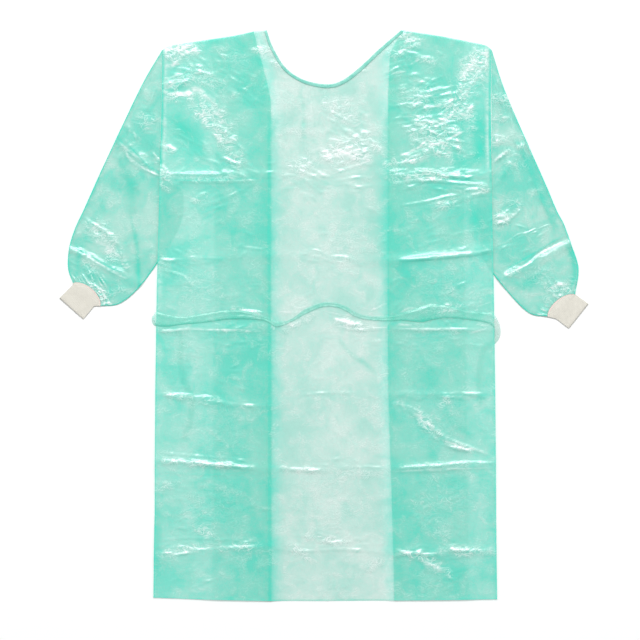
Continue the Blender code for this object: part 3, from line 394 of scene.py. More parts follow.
SLEEVE_GLARES = crease_rows(
    ((-408, 347), (-390, 331), (-366, 310), 0.8, 2.9),
    ((-400, 335), (-394, 319), (-376, 305), (-353, 293), (-331, 282), 1, 3.5, 3.8),
    ((-386, 306), (-362, 291), (-339, 280), 0.35, 9), ((-372, 395), (-351, 383), (-339, 367), 0.3, 12),
    ((-394, 376), (-368, 353), 0.9, 2.9), ((-345, 329), (-327, 308), 0.8, 3),
    ((-484, 126), (-459, 108), (-426, 90), (-399, 74), 0.9, 2.9),
    ((-465, 153), (-440, 139), (-416, 118), 0.5, 13), ((-410, 108), (-396, 94), 0.8, 3.5),
    ((-473, 185), (-457, 161), 0.3, 10), ((-343, 96), (-331, 78), 0.4, 9),
    ((356, 77), (410, 104), (437, 126), (467, 142), (494, 156), 0.9, 2.9),
    ((336, 306), (356, 321), (378, 336), 0.9, 4), ((386, 338), (408, 346), 0.9, 3.2),
    ((340, 189), (370, 195), (398, 222), 0.7, 7), ((447, 48), (477, 64), (501, 56), 0.6, 6),
    ((350, 403), (350, 343), 0.4, 7),
)


def linear(code):
    """A colour written as an sRGB hex value, as the linear numbers that a shader takes."""
    shares = [int(code[place:place + 2], 16) / 255.0 for place in (1, 3, 5)]
    return tuple(
        share / 12.92 if share <= 0.04045 else ((share + 0.055) / 1.055) ** 2.4 for share in shares
    )


def colour_setting(name, about, code):
    return FloatVectorProperty(name=name, description=about, subtype="COLOR",
                               default=linear(code), min=0.0, max=1.0)


def share_setting(name, about, default, low, high):
    return FloatProperty(name=name, description=about, default=default, min=low, max=high,
                         subtype="FACTOR")


def length_setting(name, about, default, low, high):
    """A length, given here in millimetres and held in metres."""
    return FloatProperty(name=name, description=about, default=default * MM, min=low * MM,
                         max=high * MM, unit="LENGTH")


def power_setting(name, about, default):
    return FloatProperty(name=name, description=about, default=default, min=0.0, max=5000.0,
                         unit="POWER")


class FilmSettings(bpy.types.PropertyGroup):
    tint: colour_setting("Tint", "Colour of the tinted film", "#74F2DE")
    pale: colour_setting("Pale tint", "Colour where the film is thin and clouded", "#B6F8EA")
    cover: share_setting("Cover", "How much one layer hides of what lies under it", 0.5, 0.05, 1.0)
    roughness: share_setting("Roughness", "Roughness of the pressed film", 0.27, 0.0, 1.0)
    crease: share_setting("Crease share", "Height of the creases as a share of the tables",
                          1.0, 0.0, 1.5)
    step: length_setting("Mesh step", "Distance between the mesh lines of the front",
                         2.9, 1.0, 20.0)


class TrimSettings(bpy.types.PropertyGroup):
    tint: colour_setting("Tint", "Colour of the gathered film of the belt and neck binding",
                         "#7CF0DC")
    pale: colour_setting("Pale tint", "Colour on the crests of the gathered film", "#B4F7EA")
    binding_width: length_setting("Binding width", "Width of the neck binding", 7.0, 2.0, 20.0)


class KnitSettings(bpy.types.PropertyGroup):
    yarn: colour_setting("Yarn", "Colour of the cuffs' yarn", "#E3E0D5")
    join: colour_setting("Join", "Colour of the overlocked join of a cuff and its sleeve",
                         "#F2E0D8")
    ribs: IntProperty(name="Ribs", description="Ribs on each face of a cuff", default=22,
                      min=4, max=60)


class StageSettings(bpy.types.PropertyGroup):
    floor: colour_setting("Floor", "Colour of the floor", "#FBFCFC")
    key_power: power_setting("Key light", "Power of the long softbox beyond the neck", 780.0)
    fill_power: power_setting("Fill lights", "Power of each softbox at the sides", 120.0)
    sky: FloatProperty(name="Room light", description="Strength of the even light from all round",
                       default=0.44, min=0.0, max=5.0)


SETTING_GROUPS = (
    ("gown_film", FilmSettings),
    ("gown_trim", TrimSettings),
    ("gown_knit", KnitSettings),
    ("gown_stage", StageSettings),
)


def soft_step(value, start, end):
    share = np.clip((value - start) / (end - start), 0.0, 1.0)
    return share * share * (3.0 - 2.0 * share)


def mix(first, second, share):
    return first + (second - first) * share


def read(table, key, at, column):
    """A column of a table, at places along its key column."""
    places = [getattr(row, key) for row in table]
    return np.interp(at, places, [getattr(row, column) for row in table])


def body_x(line, along):
    """Where a line of the body's outline lies along X."""
    return read(BODY, "y", along, line)


def unit(ways):
    return ways / np.linalg.norm(ways, axis=-1, keepdims=True)


def smooth_curve(points, places):
    """A smooth curve through rows of numbers, at places counted in rows."""
    rows = np.array(points, dtype=float)
    slopes = np.gradient(rows, axis=0)
    places = np.asarray(places, dtype=float)
    start = np.minimum(places.astype(int), len(rows) - 2)
    t = (places - start)[:, None]
    return (
        (2 * t**3 - 3 * t**2 + 1) * rows[start]
        + (t**3 - 2 * t**2 + t) * slopes[start]
        + (3 * t**2 - 2 * t**3) * rows[start + 1]
        + (t**3 - t**2) * slopes[start + 1]
    )


def even_curve(points, step):
    """A smooth curve through rows of numbers, as points about one step apart along X and Y."""
    fine = smooth_curve(points, np.linspace(0.0, len(points) - 1.0, 60 * len(points)))
    length = np.concatenate(([0.0], np.cumsum(np.hypot(*np.diff(fine[:, :2], axis=0).T))))
    count = max(int(length[-1] / step), 4)
    at = np.linspace(0.0, length[-1], count + 1)
    return np.stack([np.interp(at, length, column) for column in fine.T], axis=1)


def soften(field, passes):
    """Rounds a grid of heights over its neighbours."""
    for _ in range(passes):
        wide = np.pad(field, 1, mode="edge")
        field = (wide[:-2, 1:-1] + 2.0 * wide[1:-1, 1:-1] + wide[2:, 1:-1]) / 4.0
        wide = np.pad(field, 1, mode="edge")
        field = (wide[1:-1, :-2] + 2.0 * wide[1:-1, 1:-1] + wide[1:-1, 2:]) / 4.0
    return field


def surface_of(made):
    """A search tree over an object's faces, in millimetres."""
    corners = [vertex.co / MM for vertex in made.data.vertices]
    return BVHTree.FromPolygons(corners, [tuple(face.vertices) for face in made.data.polygons])


def top_of(tree, across, along, missing=None):
    """The height of the top of a surface over each point of a grid."""
    heights = np.empty(across.size)
    for number, (x, y) in enumerate(zip(across.ravel(), along.ravel())):
        hit = tree.ray_cast(Vector((x, y, 90.0)), DOWN)[0]
        if hit is None and missing is None:
            hit = tree.find_nearest(Vector((x, y, 6.0)))[0]
        heights[number] = missing if hit is None else hit.z
    return heights.reshape(across.shape)


def beside_path(x, y, path):
    """For each point: how far off a path is, the side of it that the point is on, and the length
    along it to the nearest place. The path's whole length comes last."""
    steps = np.diff(path, axis=0)
    lengths = np.hypot(*steps.T)
    before = np.concatenate(([0.0], np.cumsum(lengths)))
    best = np.full(x.shape, 1e9)
    side = np.zeros(x.shape)
    place = np.zeros(x.shape)
    for (sx, sy), (dx, dy), length, start in zip(path, steps, lengths, before):
        share = np.clip(((x - sx) * dx + (y - sy) * dy) / length**2, 0.0, 1.0)
        off_x = x - sx - share * dx
        off_y = y - sy - share * dy
        away = np.hypot(off_x, off_y)
        closer = away < best
        best = np.where(closer, away, best)
        side = np.where(closer, dx * off_y - dy * off_x, side)
        place = np.where(closer, start + share * length, place)
    return best, side, place, before[-1]


def crease_height(across, along, creases):
    """How far a list of creases raises the film over each point of a grid."""
    raised = np.zeros(across.shape)
    for number, crease in enumerate(creases):
        path = even_curve(crease.path, 6.0) if len(crease.path) > 2 else np.array(crease.path)
        reach = max(crease.left, crease.right)
        low = path.min(axis=0) - reach
        high = path.max(axis=0) + reach
        near = (across > low[0]) & (across < high[0]) & (along > low[1]) & (along < high[1])
        if not near.any():
            continue
        away, side, place, whole = beside_path(across[near], along[near], path)
        along_it = place / whole
        uneven = 1.0 + 0.22 * np.sin(place / 17.0 + 1.7 * number) * np.sin(place / 41.0 + number)
        ends = np.clip(4.0 * along_it * (1.0 - along_it), 0.0, 1.0) ** 0.45
        width = np.where(side > 0.0, crease.left, crease.right)
        slope = np.clip(1.0 - away / (width * (0.45 + 0.55 * ends)), 0.0, 1.0)
        profile = mix(slope, soft_step(slope, 0.0, 1.0), 0.5)
        raised[near] = raised[near] + crease.height * ends * uneven * profile
    return raised


def ridges(u, v, spacing, share, chance):
    """One set of sharp little ridges, which wander and break off."""
    lean = chance.uniform(-0.42, 0.42)
    pace = spacing * chance.uniform(1.2, 1.9) * (0.6 + 0.4 * share)
    bend = chance.uniform(0.9, 1.7)
    drift = chance.uniform(0.0, 6.3)
    wander = bend * np.sin(u / (3.1 * pace) + drift)
    wander = wander + 0.8 * np.sin(v / (1.9 * pace) + 1.3 * drift)
    phase = math.pi * (v + lean * u) / pace + wander + drift
    crest = (1.0 - np.abs(np.sin(phase))) ** 2
    broken = soft_step(np.sin(u / (1.7 * pace) + 2.1 * drift + np.sin(v / pace)), -0.5, 0.7)
    return share * crest * broken


def crumple_height(across, along, patches, seed):
    """How far patches of little ridges raise the film, each patch with its own grain, and how
    crushed the film is there."""
    chance = np.random.RandomState(seed)
    raised = np.zeros(across.shape)
    crushed = np.zeros(across.shape)
    for patch in patches:
        turn = math.radians(patch.angle)
        u = (across - patch.x) * math.cos(turn) + (along - patch.y) * math.sin(turn)
        v = (along - patch.y) * math.cos(turn) - (across - patch.x) * math.sin(turn)
        ragged = 0.2 * np.sin(u / 9.0 + chance.uniform(0, 6)) * np.sin(v / 7.0 + 2.0)
        ragged += 0.16 * np.sin(u / 4.1 + v / 9.0 + chance.uniform(0, 6))
        edge = 1.0 - soft_step(np.hypot(u / patch.long, v / patch.wide) + ragged, 0.3, 1.15)
        near = edge > 0.0
        total = np.zeros(across.shape)[near]
        for share in (1.0, 0.8, 0.62):
            total += ridges(u[near], v[near], patch.spacing, share, chance)
        raised[near] = raised[near] + 0.62 * patch.height * edge[near] * total
        crushed = np.maximum(crushed, edge * min(patch.height, 1.0) ** 1.6)
    return raised, crushed


def crests(raised, along):
    """Painted highlight on the sides of creases that face the neck, where the key light is, and painted
    shade on their other sides."""
    rise = np.gradient(raised, axis=0) / np.gradient(along, axis=0)
    return soft_step(-rise, 0.14, 0.6), soft_step(rise, 0.12, 0.6)


def way_of(angle):
    """The direction across and along of an angle from X."""
    return np.array((math.cos(angle), math.sin(angle)))


def bowed_path(x, y, reach, bow):
    """A short path through a place, bowed to one side by a share of its reach."""
    side = bow * np.array((-reach[1], reach[0]))
    return ((x - reach[0], y - reach[1]), (x + side[0], y + side[1]),
            (x + reach[0], y + reach[1]))


def small_creases(creases, seed, count, box):
    """Short creases: a third lie along the long ones, and the rest anywhere in a box."""
    chance = np.random.RandomState(seed)
    made = []
    for number in range(count):
        heading = chance.normal(0.0, 0.55)
        length = chance.uniform(7.0, 30.0)
        if number % 3:
            x = chance.uniform(box[0], box[1])
            y = chance.uniform(box[2], box[3])
        else:
            path = np.array(creases[chance.randint(len(creases))].path, dtype=float)
            place = chance.uniform(0.0, len(path) - 1.001)
            start = int(place)
            x, y = mix(path[start], path[start + 1], place - start)
            y += chance.normal(0.0, 6.0)
            way = path[start + 1] - path[start]
            heading = math.atan2(way[1], way[0]) + chance.normal(0.5, 0.4)
            length *= 0.7
        path = bowed_path(x, y, 0.5 * length * way_of(heading), chance.normal(0.0, 0.1))
        made.append(Crease(path, chance.uniform(0.4, 1.3), chance.uniform(2.8, 4.5),
                           chance.uniform(2.8, 5.0)))
    return made


def streak_creases(fields, seed):
    """Fine creases, nearly parallel, over each field of a table."""
    chance = np.random.RandomState(seed)
    made = []
    for field in fields:
        count = int(3.1 * field.long * field.wide / (field.spacing * 24.0)) + 2
        for _ in range(count):
            turn = math.radians(field.angle + chance.normal(0.0, 9.0))
            out = math.sqrt(chance.uniform(0.0, 1.0))
            round_by = chance.uniform(0.0, 2.0 * math.pi)
            lean = math.radians(field.angle)
            u = field.long * out * math.cos(round_by)
            v = field.wide * out * math.sin(round_by)
            x = field.x + u * math.cos(lean) - v * math.sin(lean)
            y = field.y + u * math.sin(lean) + v * math.cos(lean)
            reach = chance.uniform(8.0, 24.0) * way_of(turn)
            path = bowed_path(x, y, reach, chance.normal(0.0, 0.12))
            if math.cos(turn) < 0.0:
                path = path[::-1]
            made.append(Crease(path, field.height * chance.uniform(0.5, 1.4),
                               chance.uniform(2.8, 3.6), chance.uniform(2.8, 4.5)))
    return made


def slack_height(across, along, seed, height, shortest=45.0, longest=170.0):
    """Broad shallow waves of film that doesn't lie quite flat."""
    chance = np.random.RandomState(seed)
    total = np.zeros(across.shape)
    waves = 26
    for _ in range(waves):
        pace = chance.uniform(shortest, longest)
        heading = chance.uniform(0.0, math.pi)
        phase = chance.uniform(0.0, 2.0 * math.pi)
        run = across * math.cos(heading) + along * math.sin(heading)
        total += (pace / longest) * np.sin(2.0 * math.pi * run / pace + phase)
    return height * (0.5 + 0.5 * np.tanh(total / math.sqrt(0.2 * waves)))


def grid_faces(rows, columns, closed_round=False):
    """Quads of a grid whose rows run across, so that they face up."""
    around = columns if closed_round else columns - 1
    row = np.arange(rows - 1)[:, None]
    column = np.arange(around)[None, :]
    after = (column + 1) % columns
    corners = (row * columns + column, row * columns + after,
               (row + 1) * columns + after, (row + 1) * columns + column)
    return np.stack([np.broadcast_to(corner, (rows - 1, around)) for corner in corners],
                    axis=-1).reshape(-1, 4)


def make_mesh(name, points, faces, finishes, finish_of_face=None):
    """An object from points in millimetres, with smooth faces."""
    mesh = bpy.data.meshes.new(name)
    mesh.from_pydata((np.asarray(points).reshape(-1, 3) * MM).tolist(), [], list(faces))
    mesh.shade_smooth()
    for finish in finishes:
        mesh.materials.append(finish)
    if finish_of_face is not None:
        mesh.polygons.foreach_set("material_index", np.asarray(finish_of_face, dtype=np.int32))
    mesh.update()
    made = bpy.data.objects.new(name, mesh)
    bpy.context.scene.collection.objects.link(made)
    return made


def mark(made, name, shares):
    """Tells the film's finish one share at each point, from 0 to 1: how deep it is from lying double
    and from painted shade, how crushed it is, where a highlight is painted, where it lies alone.
    """
    marks = made.data.attributes.new(name, "FLOAT", "POINT")
    marks.data.foreach_set("value", np.clip(shares, 0.0, 1.0).ravel().astype(np.float32))


def fit_piece(made, node):
    """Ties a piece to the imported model: it rides on its body and stands for its node."""
    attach(made, "root")
    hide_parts(node)


def add_node(tree, kind, inputs=None, **settings):
    """Adds a node with its settings; inputs hold numbers, or the sockets that they link to."""
    node = tree.nodes.new(kind)
    for name, value in settings.items():
        setattr(node, name, value)
    for name, value in (inputs or {}).items():
        if isinstance(value, bpy.types.NodeSocket):
            tree.links.new(value, node.inputs[name])
        else:
            node.inputs[name].default_value = value
    return node


def new_finish(name):
    finish = bpy.data.materials.new(name)
    finish.use_nodes = True
    finish.node_tree.nodes.clear()
    return finish, finish.node_tree


def end_finish(tree, inputs):
    """Ends a material with its one shader."""
    shader = add_node(tree, "ShaderNodeBsdfPrincipled", inputs)
    add_node(tree, "ShaderNodeOutputMaterial", {"Surface": shader.outputs["BSDF"]})


def own_place(tree):
    """Places in the space of the piece itself."""
    return add_node(tree, "ShaderNodeTexCoord").outputs["Object"]


def point_mark(tree, name):
    """A share that the mesh holds at each of its points."""
    return add_node(tree, "ShaderNodeAttribute", attribute_name=name).outputs["Fac"]


def noise(tree, place, scale, detail=2.0, roughness=0.5, distortion=0.0):
    inputs = {"Vector": place, "Scale": scale, "Detail": detail, "Roughness": roughness,
              "Distortion": distortion}
    return add_node(tree, "ShaderNodeTexNoise", inputs).outputs["Fac"]


def blend(tree, share, first, second, kind="FLOAT"):
    """A mix of two numbers, or of two colours with the kind RGBA."""
    inputs = {"Factor": share, "A": first, "B": second}
    return add_node(tree, "ShaderNodeMix", inputs, data_type=kind).outputs["Result"]


def calculate(tree, operation, *numbers, use_clamp=False):
    """A sum or a product of numbers and sockets."""
    node = add_node(tree, "ShaderNodeMath", dict(enumerate(numbers)), operation=operation,
                    use_clamp=use_clamp)
    return node.outputs["Value"]


def rescale(tree, value, source, target):
    """A number moved from one range to another and held there."""
    inputs = {"Value": value, "From Min": source[0], "From Max": source[1],
              "To Min": target[0], "To Max": target[1]}
    return add_node(tree, "ShaderNodeMapRange", inputs).outputs["Result"]


def colour_ramp(tree, share, *stops):
    """A colour for each share, between stops that hold a place and a colour."""
    node = add_node(tree, "ShaderNodeValToRGB", {"Fac": share})
    elements = node.color_ramp.elements
    for number, (at, colour) in enumerate(stops):
        element = elements[number] if number < 2 else elements.new(at)
        element.position = at
        element.color = (*colour, 1.0)
    return node.outputs["Color"]


def bump(tree, height, strength, distance, under=None):
    """Fine relief, so many millimetres high, over other relief where there is some."""
    inputs = {"Height": height, "Strength": strength, "Distance": distance * MM}
    if under is not None:
        inputs["Normal"] = under
    return add_node(tree, "ShaderNodeBump", inputs).outputs["Normal"]


def film_tint(tree, clouded, tint, pale):
    """The film's colour: clouded, greyer where one layer lies alone over the floor, and deeper where it
    lies double and where shade is painted."""
    clouds = colour_ramp(tree, clouded, (0.42, tint), (0.58, pale))
    base = blend(tree, point_mark(tree, "alone"), clouds, (0.62, 0.58, 0.53, 1.0), "RGBA")
    # Deep colour: film that lies double, and painted shade on the dark sides of creases and along the
    # shade bands
    deep = (0.08 * tint[0], 0.84 * tint[1], 0.77 * tint[2], 1.0)
    return blend(tree, point_mark(tree, "doubled_and_shade"), base, deep, "RGBA")


def film_crinkle(tree, place):
    """Crinkle whose lines wander about 9 mm apart, longer along X."""
    inputs = {"Vector": place, "Scale": (0.72, 1.25, 1.0), "Rotation": (0.0, 0.0, 0.3)}
    stretched = add_node(tree, "ShaderNodeMapping", inputs).outputs["Vector"]
    return noise(tree, stretched, 74.0, 2.5, 0.55, 1.1)


def film_painted_highlights(tree, crinkle, crushed):
    """Painted highlights, as a share: in the crinkle's lines where it is crushed, and in dashes where
    the crest mark places a painted highlight, because the crinkle breaks them up."""
    greys = ((0.425, 0.0), (0.49, 1.0), (0.535, 0.1), (0.6, 0.0), (0.67, 0.85))
    lines = colour_ramp(tree, crinkle, *((at, (grey, grey, grey)) for at, grey in greys))
    bright_lines = calculate(tree, "MULTIPLY", lines, crushed)
    dashes = rescale(tree, crinkle, (0.38, 0.6), (0.35, 1.0))
    # The crest mark holds the painted highlights on lit crease slopes and along the glare bands
    dashed = calculate(tree, "MULTIPLY", point_mark(tree, "crest"), dashes)
    return calculate(tree, "MULTIPLY_ADD", bright_lines, 0.62, dashed, use_clamp=True)


def film_cover(tree, clouded, highlight_share, cover):
    """How much the film hides: a little more or less in its clouds, more where it lies double and where
    shade is painted, and more where a highlight is painted."""
    clouds = rescale(tree, clouded, (0.38, 0.62), (1.15 * cover, 0.85 * cover))
    folded = calculate(tree, "MULTIPLY_ADD", point_mark(tree, "doubled_and_shade"), 0.42, clouds)
    return calculate(tree, "MULTIPLY_ADD", highlight_share, 0.42, folded, use_clamp=True)


def blown_film(name, tint, pale, cover, roughness, shift):
    """Polyethylene film, blown, tinted in the melt and lightly embossed. It is clear enough to
    show each layer under it, clouded in soft patches, smooth here and crinkled there, with a
    fine grain and a wet gloss. The mesh says where it lies double at a seam or turns over, where shade
    is painted, where it is crushed, and where highlights are painted."""
    finish, tree = new_finish(name)
    inputs = {"Vector": own_place(tree), "Location": shift}
    place = add_node(tree, "ShaderNodeMapping", inputs).outputs["Vector"]
    # Clouds 110 mm across, patches of 30 mm, and a grain drawn at 3 mm so that it shows
    clouds = noise(tree, place, 9.0, 3.5, 0.6, 0.5)
    patches = noise(tree, place, 33.0, 3.0, 0.55, 0.8)
    grain = noise(tree, place, 330.0, 2.0, 0.6)
    clouded = blend(tree, 0.16, blend(tree, 0.42, clouds, patches), grain)
    crinkle = film_crinkle(tree, place)
    crushed = calculate(tree, "ADD", point_mark(tree, "crushed"),
                        rescale(tree, patches, (0.5, 0.7), (0.03, 0.42)), use_clamp=True)
    highlight_share = film_painted_highlights(tree, crinkle, crushed)
    # Painted highlights: the colour goes to near white where they are marked
    colour = blend(tree, highlight_share, film_tint(tree, clouded, tint, pale),
                   (0.93, 1.0, 0.985, 1.0), "RGBA")
    crinkled = bump(tree, calculate(tree, "MULTIPLY", crinkle, crushed), 0.6, 3.0)
    end_finish(tree, {"Base Color": colour, "Roughness": roughness, "IOR": 1.51,
                      "Specular IOR Level": 1.0,
                      "Alpha": film_cover(tree, clouded, highlight_share, cover),
                      "Normal": bump(tree, grain, 0.3, 0.25, crinkled)})
    return finish


def gathered_film(name, tint):
    """The same film in a narrow tape, pleated into itself: deeper in colour, with a fine line
    along each pleat."""
    finish, tree = new_finish(name)
    place = own_place(tree)
    pleats = noise(tree, place, 300.0, 3.0, 0.6, 0.8)
    patches = noise(tree, place, 60.0, 3.0, 0.6)
    colour = colour_ramp(tree, blend(tree, 0.4, patches, pleats),
                         (0.34, [0.85 * part for part in tint]),
                         (0.64, [mix(part, 1.0, 0.3) for part in tint]))
    end_finish(tree, {"Base Color": colour, "Roughness": 0.28, "IOR": 1.51, "Alpha": 0.6,
                      "Normal": bump(tree, pleats, 0.45, 0.5)})
    return finish


def rib_knit(name, yarn, course_mm):
    """Polyester rib knit: a matt, slightly fuzzy yarn whose courses make a fine cross line."""
    finish, tree = new_finish(name)
    place = own_place(tree)
    # One wave of the texture is one course of stitches
    inputs = {"Vector": place, "Scale": 0.314 / (course_mm * MM), "Distortion": 2.5,
              "Detail": 2.0, "Detail Scale": 1.5}
    courses = add_node(tree, "ShaderNodeTexWave", inputs, wave_type="BANDS",
                       bands_direction="DIAGONAL").outputs["Fac"]
    fuzz = noise(tree, place, 900.0, 2.0, 0.6)
    wear = noise(tree, place, 60.0, 3.0, 0.5)
    colour = colour_ramp(tree, blend(tree, 0.45, wear, courses),
                         (0.25, [0.86 * part for part in yarn]), (0.7, yarn))
    stitches = bump(tree, courses, 0.4, 0.3)
    end_finish(tree, {"Base Color": colour, "Roughness": 0.92, "IOR": 1.5,
                      "Sheen Weight": 0.25, "Normal": bump(tree, fuzz, 0.3, 0.2, stitches)})
    return finish


def film_finish(name, shift, red=1.0, rest=1.0):
    """The film of one piece, with shares of the settings' red and of their green and blue."""
    film = bpy.context.scene.gown_film
    tint = (film.tint[0] * red, film.tint[1] * rest, film.tint[2] * rest)
    pale = (film.pale[0] * red, film.pale[1] * rest, film.pale[2] * rest)
    return blown_film(name, tint, pale, film.cover, film.roughness, shift)


def top_edge(x):
    """Where the shoulder and neck edges lie along Y."""
    scoop = even_curve(NECK_SCOOP, 3.0)
    shoulder = read(SHOULDERS, "x", x, "y")
    neck = np.interp(x, scoop[:, 0], scoop[:, 1])
    return np.where((x > NECK_SCOOP[0].x) & (x < NECK_SCOOP[-1].x), neck, shoulder)


def panel_grid(shares, first, last, top_xs, below, above):
    """Rows of a body panel from the hem to the shoulders. Shares run between two lines of the
    body's outline."""
    low_x = mix(body_x(first, HEM_Y), body_x(last, HEM_Y), shares)
    hem = read(HEM, "x", low_x, "y")
    up = np.linspace(0.0, 1.0, below)[:, None]
    along = mix(hem[None, :], CHEST_Y, up)
    across = mix(body_x(first, along), body_x(last, along), shares)
    up = np.linspace(0.0, 1.0, above)[1:, None]
    along_top = mix(CHEST_Y, top_edge(top_xs)[None, :], up)
    if (first, last) == ("left_side", "right_side"):
        across_top = mix(across[-1][None, :], top_xs[None, :], up)
    else:
        across_top = mix(body_x(first, along_top), body_x(last, along_top), shares)
    return np.vstack((across, across_top)), np.vstack((along, along_top))


def body_relief(across, along):
    """How far the creases raise the body's film, and how crushed it is."""
    share = bpy.context.scene.gown_film.crease
    raised = crease_height(across, along, BODY_CREASES)
    box = (-335.0, 340.0, -560.0, 530.0)
    small = small_creases(BODY_CREASES, seed=4, count=200, box=box)
    raised += crease_height(across, along, small)
    raised += crease_height(across, along, streak_creases(BODY_STREAKS, seed=6))
    crumpled, crushed = crumple_height(across, along, BODY_PATCHES, seed=5)
    return share * (raised + crumpled), crushed


def rounded_edge(edge, low, outwards, reach, angle):
    """Three lines of points round a turned edge, from just below its upper line to just above
    its lower one."""
    middle = (edge[:, 2] + low) / 2.0
    half = (edge[:, 2] - low) / 2.0
    turns = []
    for lean in (angle, 0.0, -angle):
        turn = edge.copy()
        turn[:, :2] += outwards * reach * math.cos(math.radians(lean))
        turn[:, 2] = middle + half * math.sin(math.radians(lean))
        turns.append(turn)
    return np.stack(turns, axis=1)


def pressed_tube(upper, lower, reach, angle):
    """Rings round a pressed tube: its upper face, a turned edge, its lower face and the other
    turned edge."""
    edges = []
    for column, neighbour in ((-1, -2), (0, 1)):
        outwards = unit(upper[:, column, :2] - upper[:, neighbour, :2])
        edges.append(rounded_edge(upper[:, column], lower[:, column, 2], outwards, reach, angle))
    return np.concatenate((upper, edges[0], lower[:, ::-1], edges[1][:, ::-1]), axis=1)


def make_back(name, node, left):
    """A back panel: it runs from the side seam under the front to the hairpin fold, and its flap
    goes back outwards under it to the edge of the back opening."""
    side, fold = ("left_side", "left_fold") if left else ("right_side", "right_fold")
    hand = 0 if left else 1
    flap_share = FLAP_SHARES[hand]
    inward = 1.0 if left else -1.0
    width = abs(getattr(HIP, side) - getattr(HIP, fold))
    shares = np.linspace(0.0, 1.0, int(width / BACK_STEP))
    top_xs = mix(SIDE_TOPS[hand], FOLD_TOPS[hand], shares)
    across, along = panel_grid(shares, side, fold, top_xs, int(BACK_LENGTH / BACK_STEP),
                               int(YOKE_HEIGHT / BACK_STEP))
    tree = surface_of(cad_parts[node])
    height = soften(top_of(tree, across, along) - CLOTH / 2, 3)
    raised, _ = body_relief(across, along)
    height += 0.55 * raised + slack_height(across, along, seed=11, height=0.35)
    main = np.stack((across, along, height), axis=-1)
    turns = rounded_edge(main[:, -1], 0.5, np.array((inward, 0.0)), 0.7, 50.0)
    keep = shares >= flap_share - 0.5 / len(shares)
    flap = main[:, keep][:, ::-1].copy()
    flap[:, :, 2] = 0.35 + slack_height(flap[:, :, 0], flap[:, :, 1], seed=13, height=0.25)
    grid = np.concatenate((main, turns, flap), axis=1)
    if not left:
        grid = grid[:, ::-1]
    made = make_mesh(name, grid, grid_faces(*grid.shape[:2]).tolist(),
                     [film_finish("tinted_film_" + node, (0.31, 0.17, 0.4), red=0.75)])
    # Deeper near the fold: the film turns over there, and the shade inside the hairpin fold is painted
    # in
    from_fold = inward * (body_x(fold, grid[:, :, 1]) - grid[:, :, 0])
    depth = 0.95 if left else np.interp(grid[:, :, 1], (-160.0, -40.0), (0.5, 0.95))
    mark(made, "doubled_and_shade", depth * np.exp(-np.maximum(from_fold, 0.0) / 16.0))
    fit_piece(made, node)
    return made


def front_height(across, along):
    """The height of the front's film before it is creased: over its solid, slack here and there,
    and clear of both back panels."""
    tree = surface_of(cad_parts["front"])
    height = soften(top_of(tree, across, along) - CLOTH / 2, 5)
    height += slack_height(across, along, seed=3, height=0.7)
    for under in ("back_left_film", "back_right_film"):
        backs = surface_of(bpy.data.objects[under])
        height = np.maximum(height, top_of(backs, across, along, missing=-5.0) + 0.7)
    return soften(height, 4)


def from_side(across, along):
    """How far each point lies in from the nearer side seam."""
    return np.minimum(across - body_x("left_side", along), body_x("right_side", along) - across)


def front_rolls_and_shade(across, along, from_left_fold, from_right_fold, at_armhole):
    """Where the front looks deeper: it lies double where it turns over the back panels' folds, with the
    shade of the film bridging down from them painted in, and its side seams and hem are turned."""
    upright = 1.0 - soft_step(along, 385.0, 425.0)
    rolls_and_shade = 0.65 * np.exp(-np.maximum(from_left_fold + 3.0, 0.0) / 15.0)
    rolls_and_shade *= soft_step(from_left_fold, -9.0, -4.0) * upright
    # The right fold's roll and painted shade are sharp and faint toward the hem, and broad and deep at
    # the chest
    reach = np.interp(along, (-60.0, 60.0, 190.0, 330.0, 450.0), (5.0, 9.0, 28.0, 16.0, 9.0))
    depth = np.interp(along, (-200.0, -120.0, -20.0), (0.12, 0.3, 0.6))
    right_roll_and_shade = depth * np.exp(-np.maximum(from_right_fold, 0.0) / reach)
    rolls_and_shade += right_roll_and_shade * soft_step(from_right_fold, -3.3, 0.0) * upright
    seam = 1.0 - soft_step(from_side(across, along), 1.0, 5.0)
    rolls_and_shade += (0.75 + 0.25 * at_armhole) * seam
    return rolls_and_shade + 0.5 * (1.0 - soft_step(along - along[:1], 0.0, 4.0))


def mark_front(made, across, along, raised, crushed):
    """Tells the film's finish where the front turns over, where shade and highlights are painted, where
    it is crushed and where it lies alone.
    """
    from_left_fold = across - body_x("left_fold", along)
    from_right_fold = body_x("right_fold", along) - across
    at_armhole = soft_step(along, 288.0, 306.0)
    side = from_side(across, along)
    rolls_and_shade = front_rolls_and_shade(across, along, from_left_fold, from_right_fold, at_armhole)
    # Painted highlights on crease slopes facing the key light, and painted shade on the other slopes
    bright, dull = crests(raised, along)
    # A painted highlight strip just in from the side seam at the armhole
    bright += 0.55 * at_armhole * soft_step(side, 4.0, 6.5) * (1.0 - soft_step(side, 8.0, 12.0))
    # Painted highlights also along the glare bands and on crushed film
    bright = 0.8 * bright + crease_height(across, along, BODY_GLARES) + 0.22 * crushed
    # Painted shade on the dull slopes and along the shade bands
    rolls_and_shade += 0.45 * dull + crease_height(across, along, BODY_SHADES)
    mark(made, "doubled_and_shade", rolls_and_shade * (1.0 - 0.8 * np.minimum(bright, 1.0)))
    mark(made, "crushed", crushed)
    mark(made, "crest", bright)
    in_middle = np.minimum(from_left_fold, from_right_fold)
    mark(made, "alone", 0.33 * soft_step(in_middle, 0.0, 30.0))


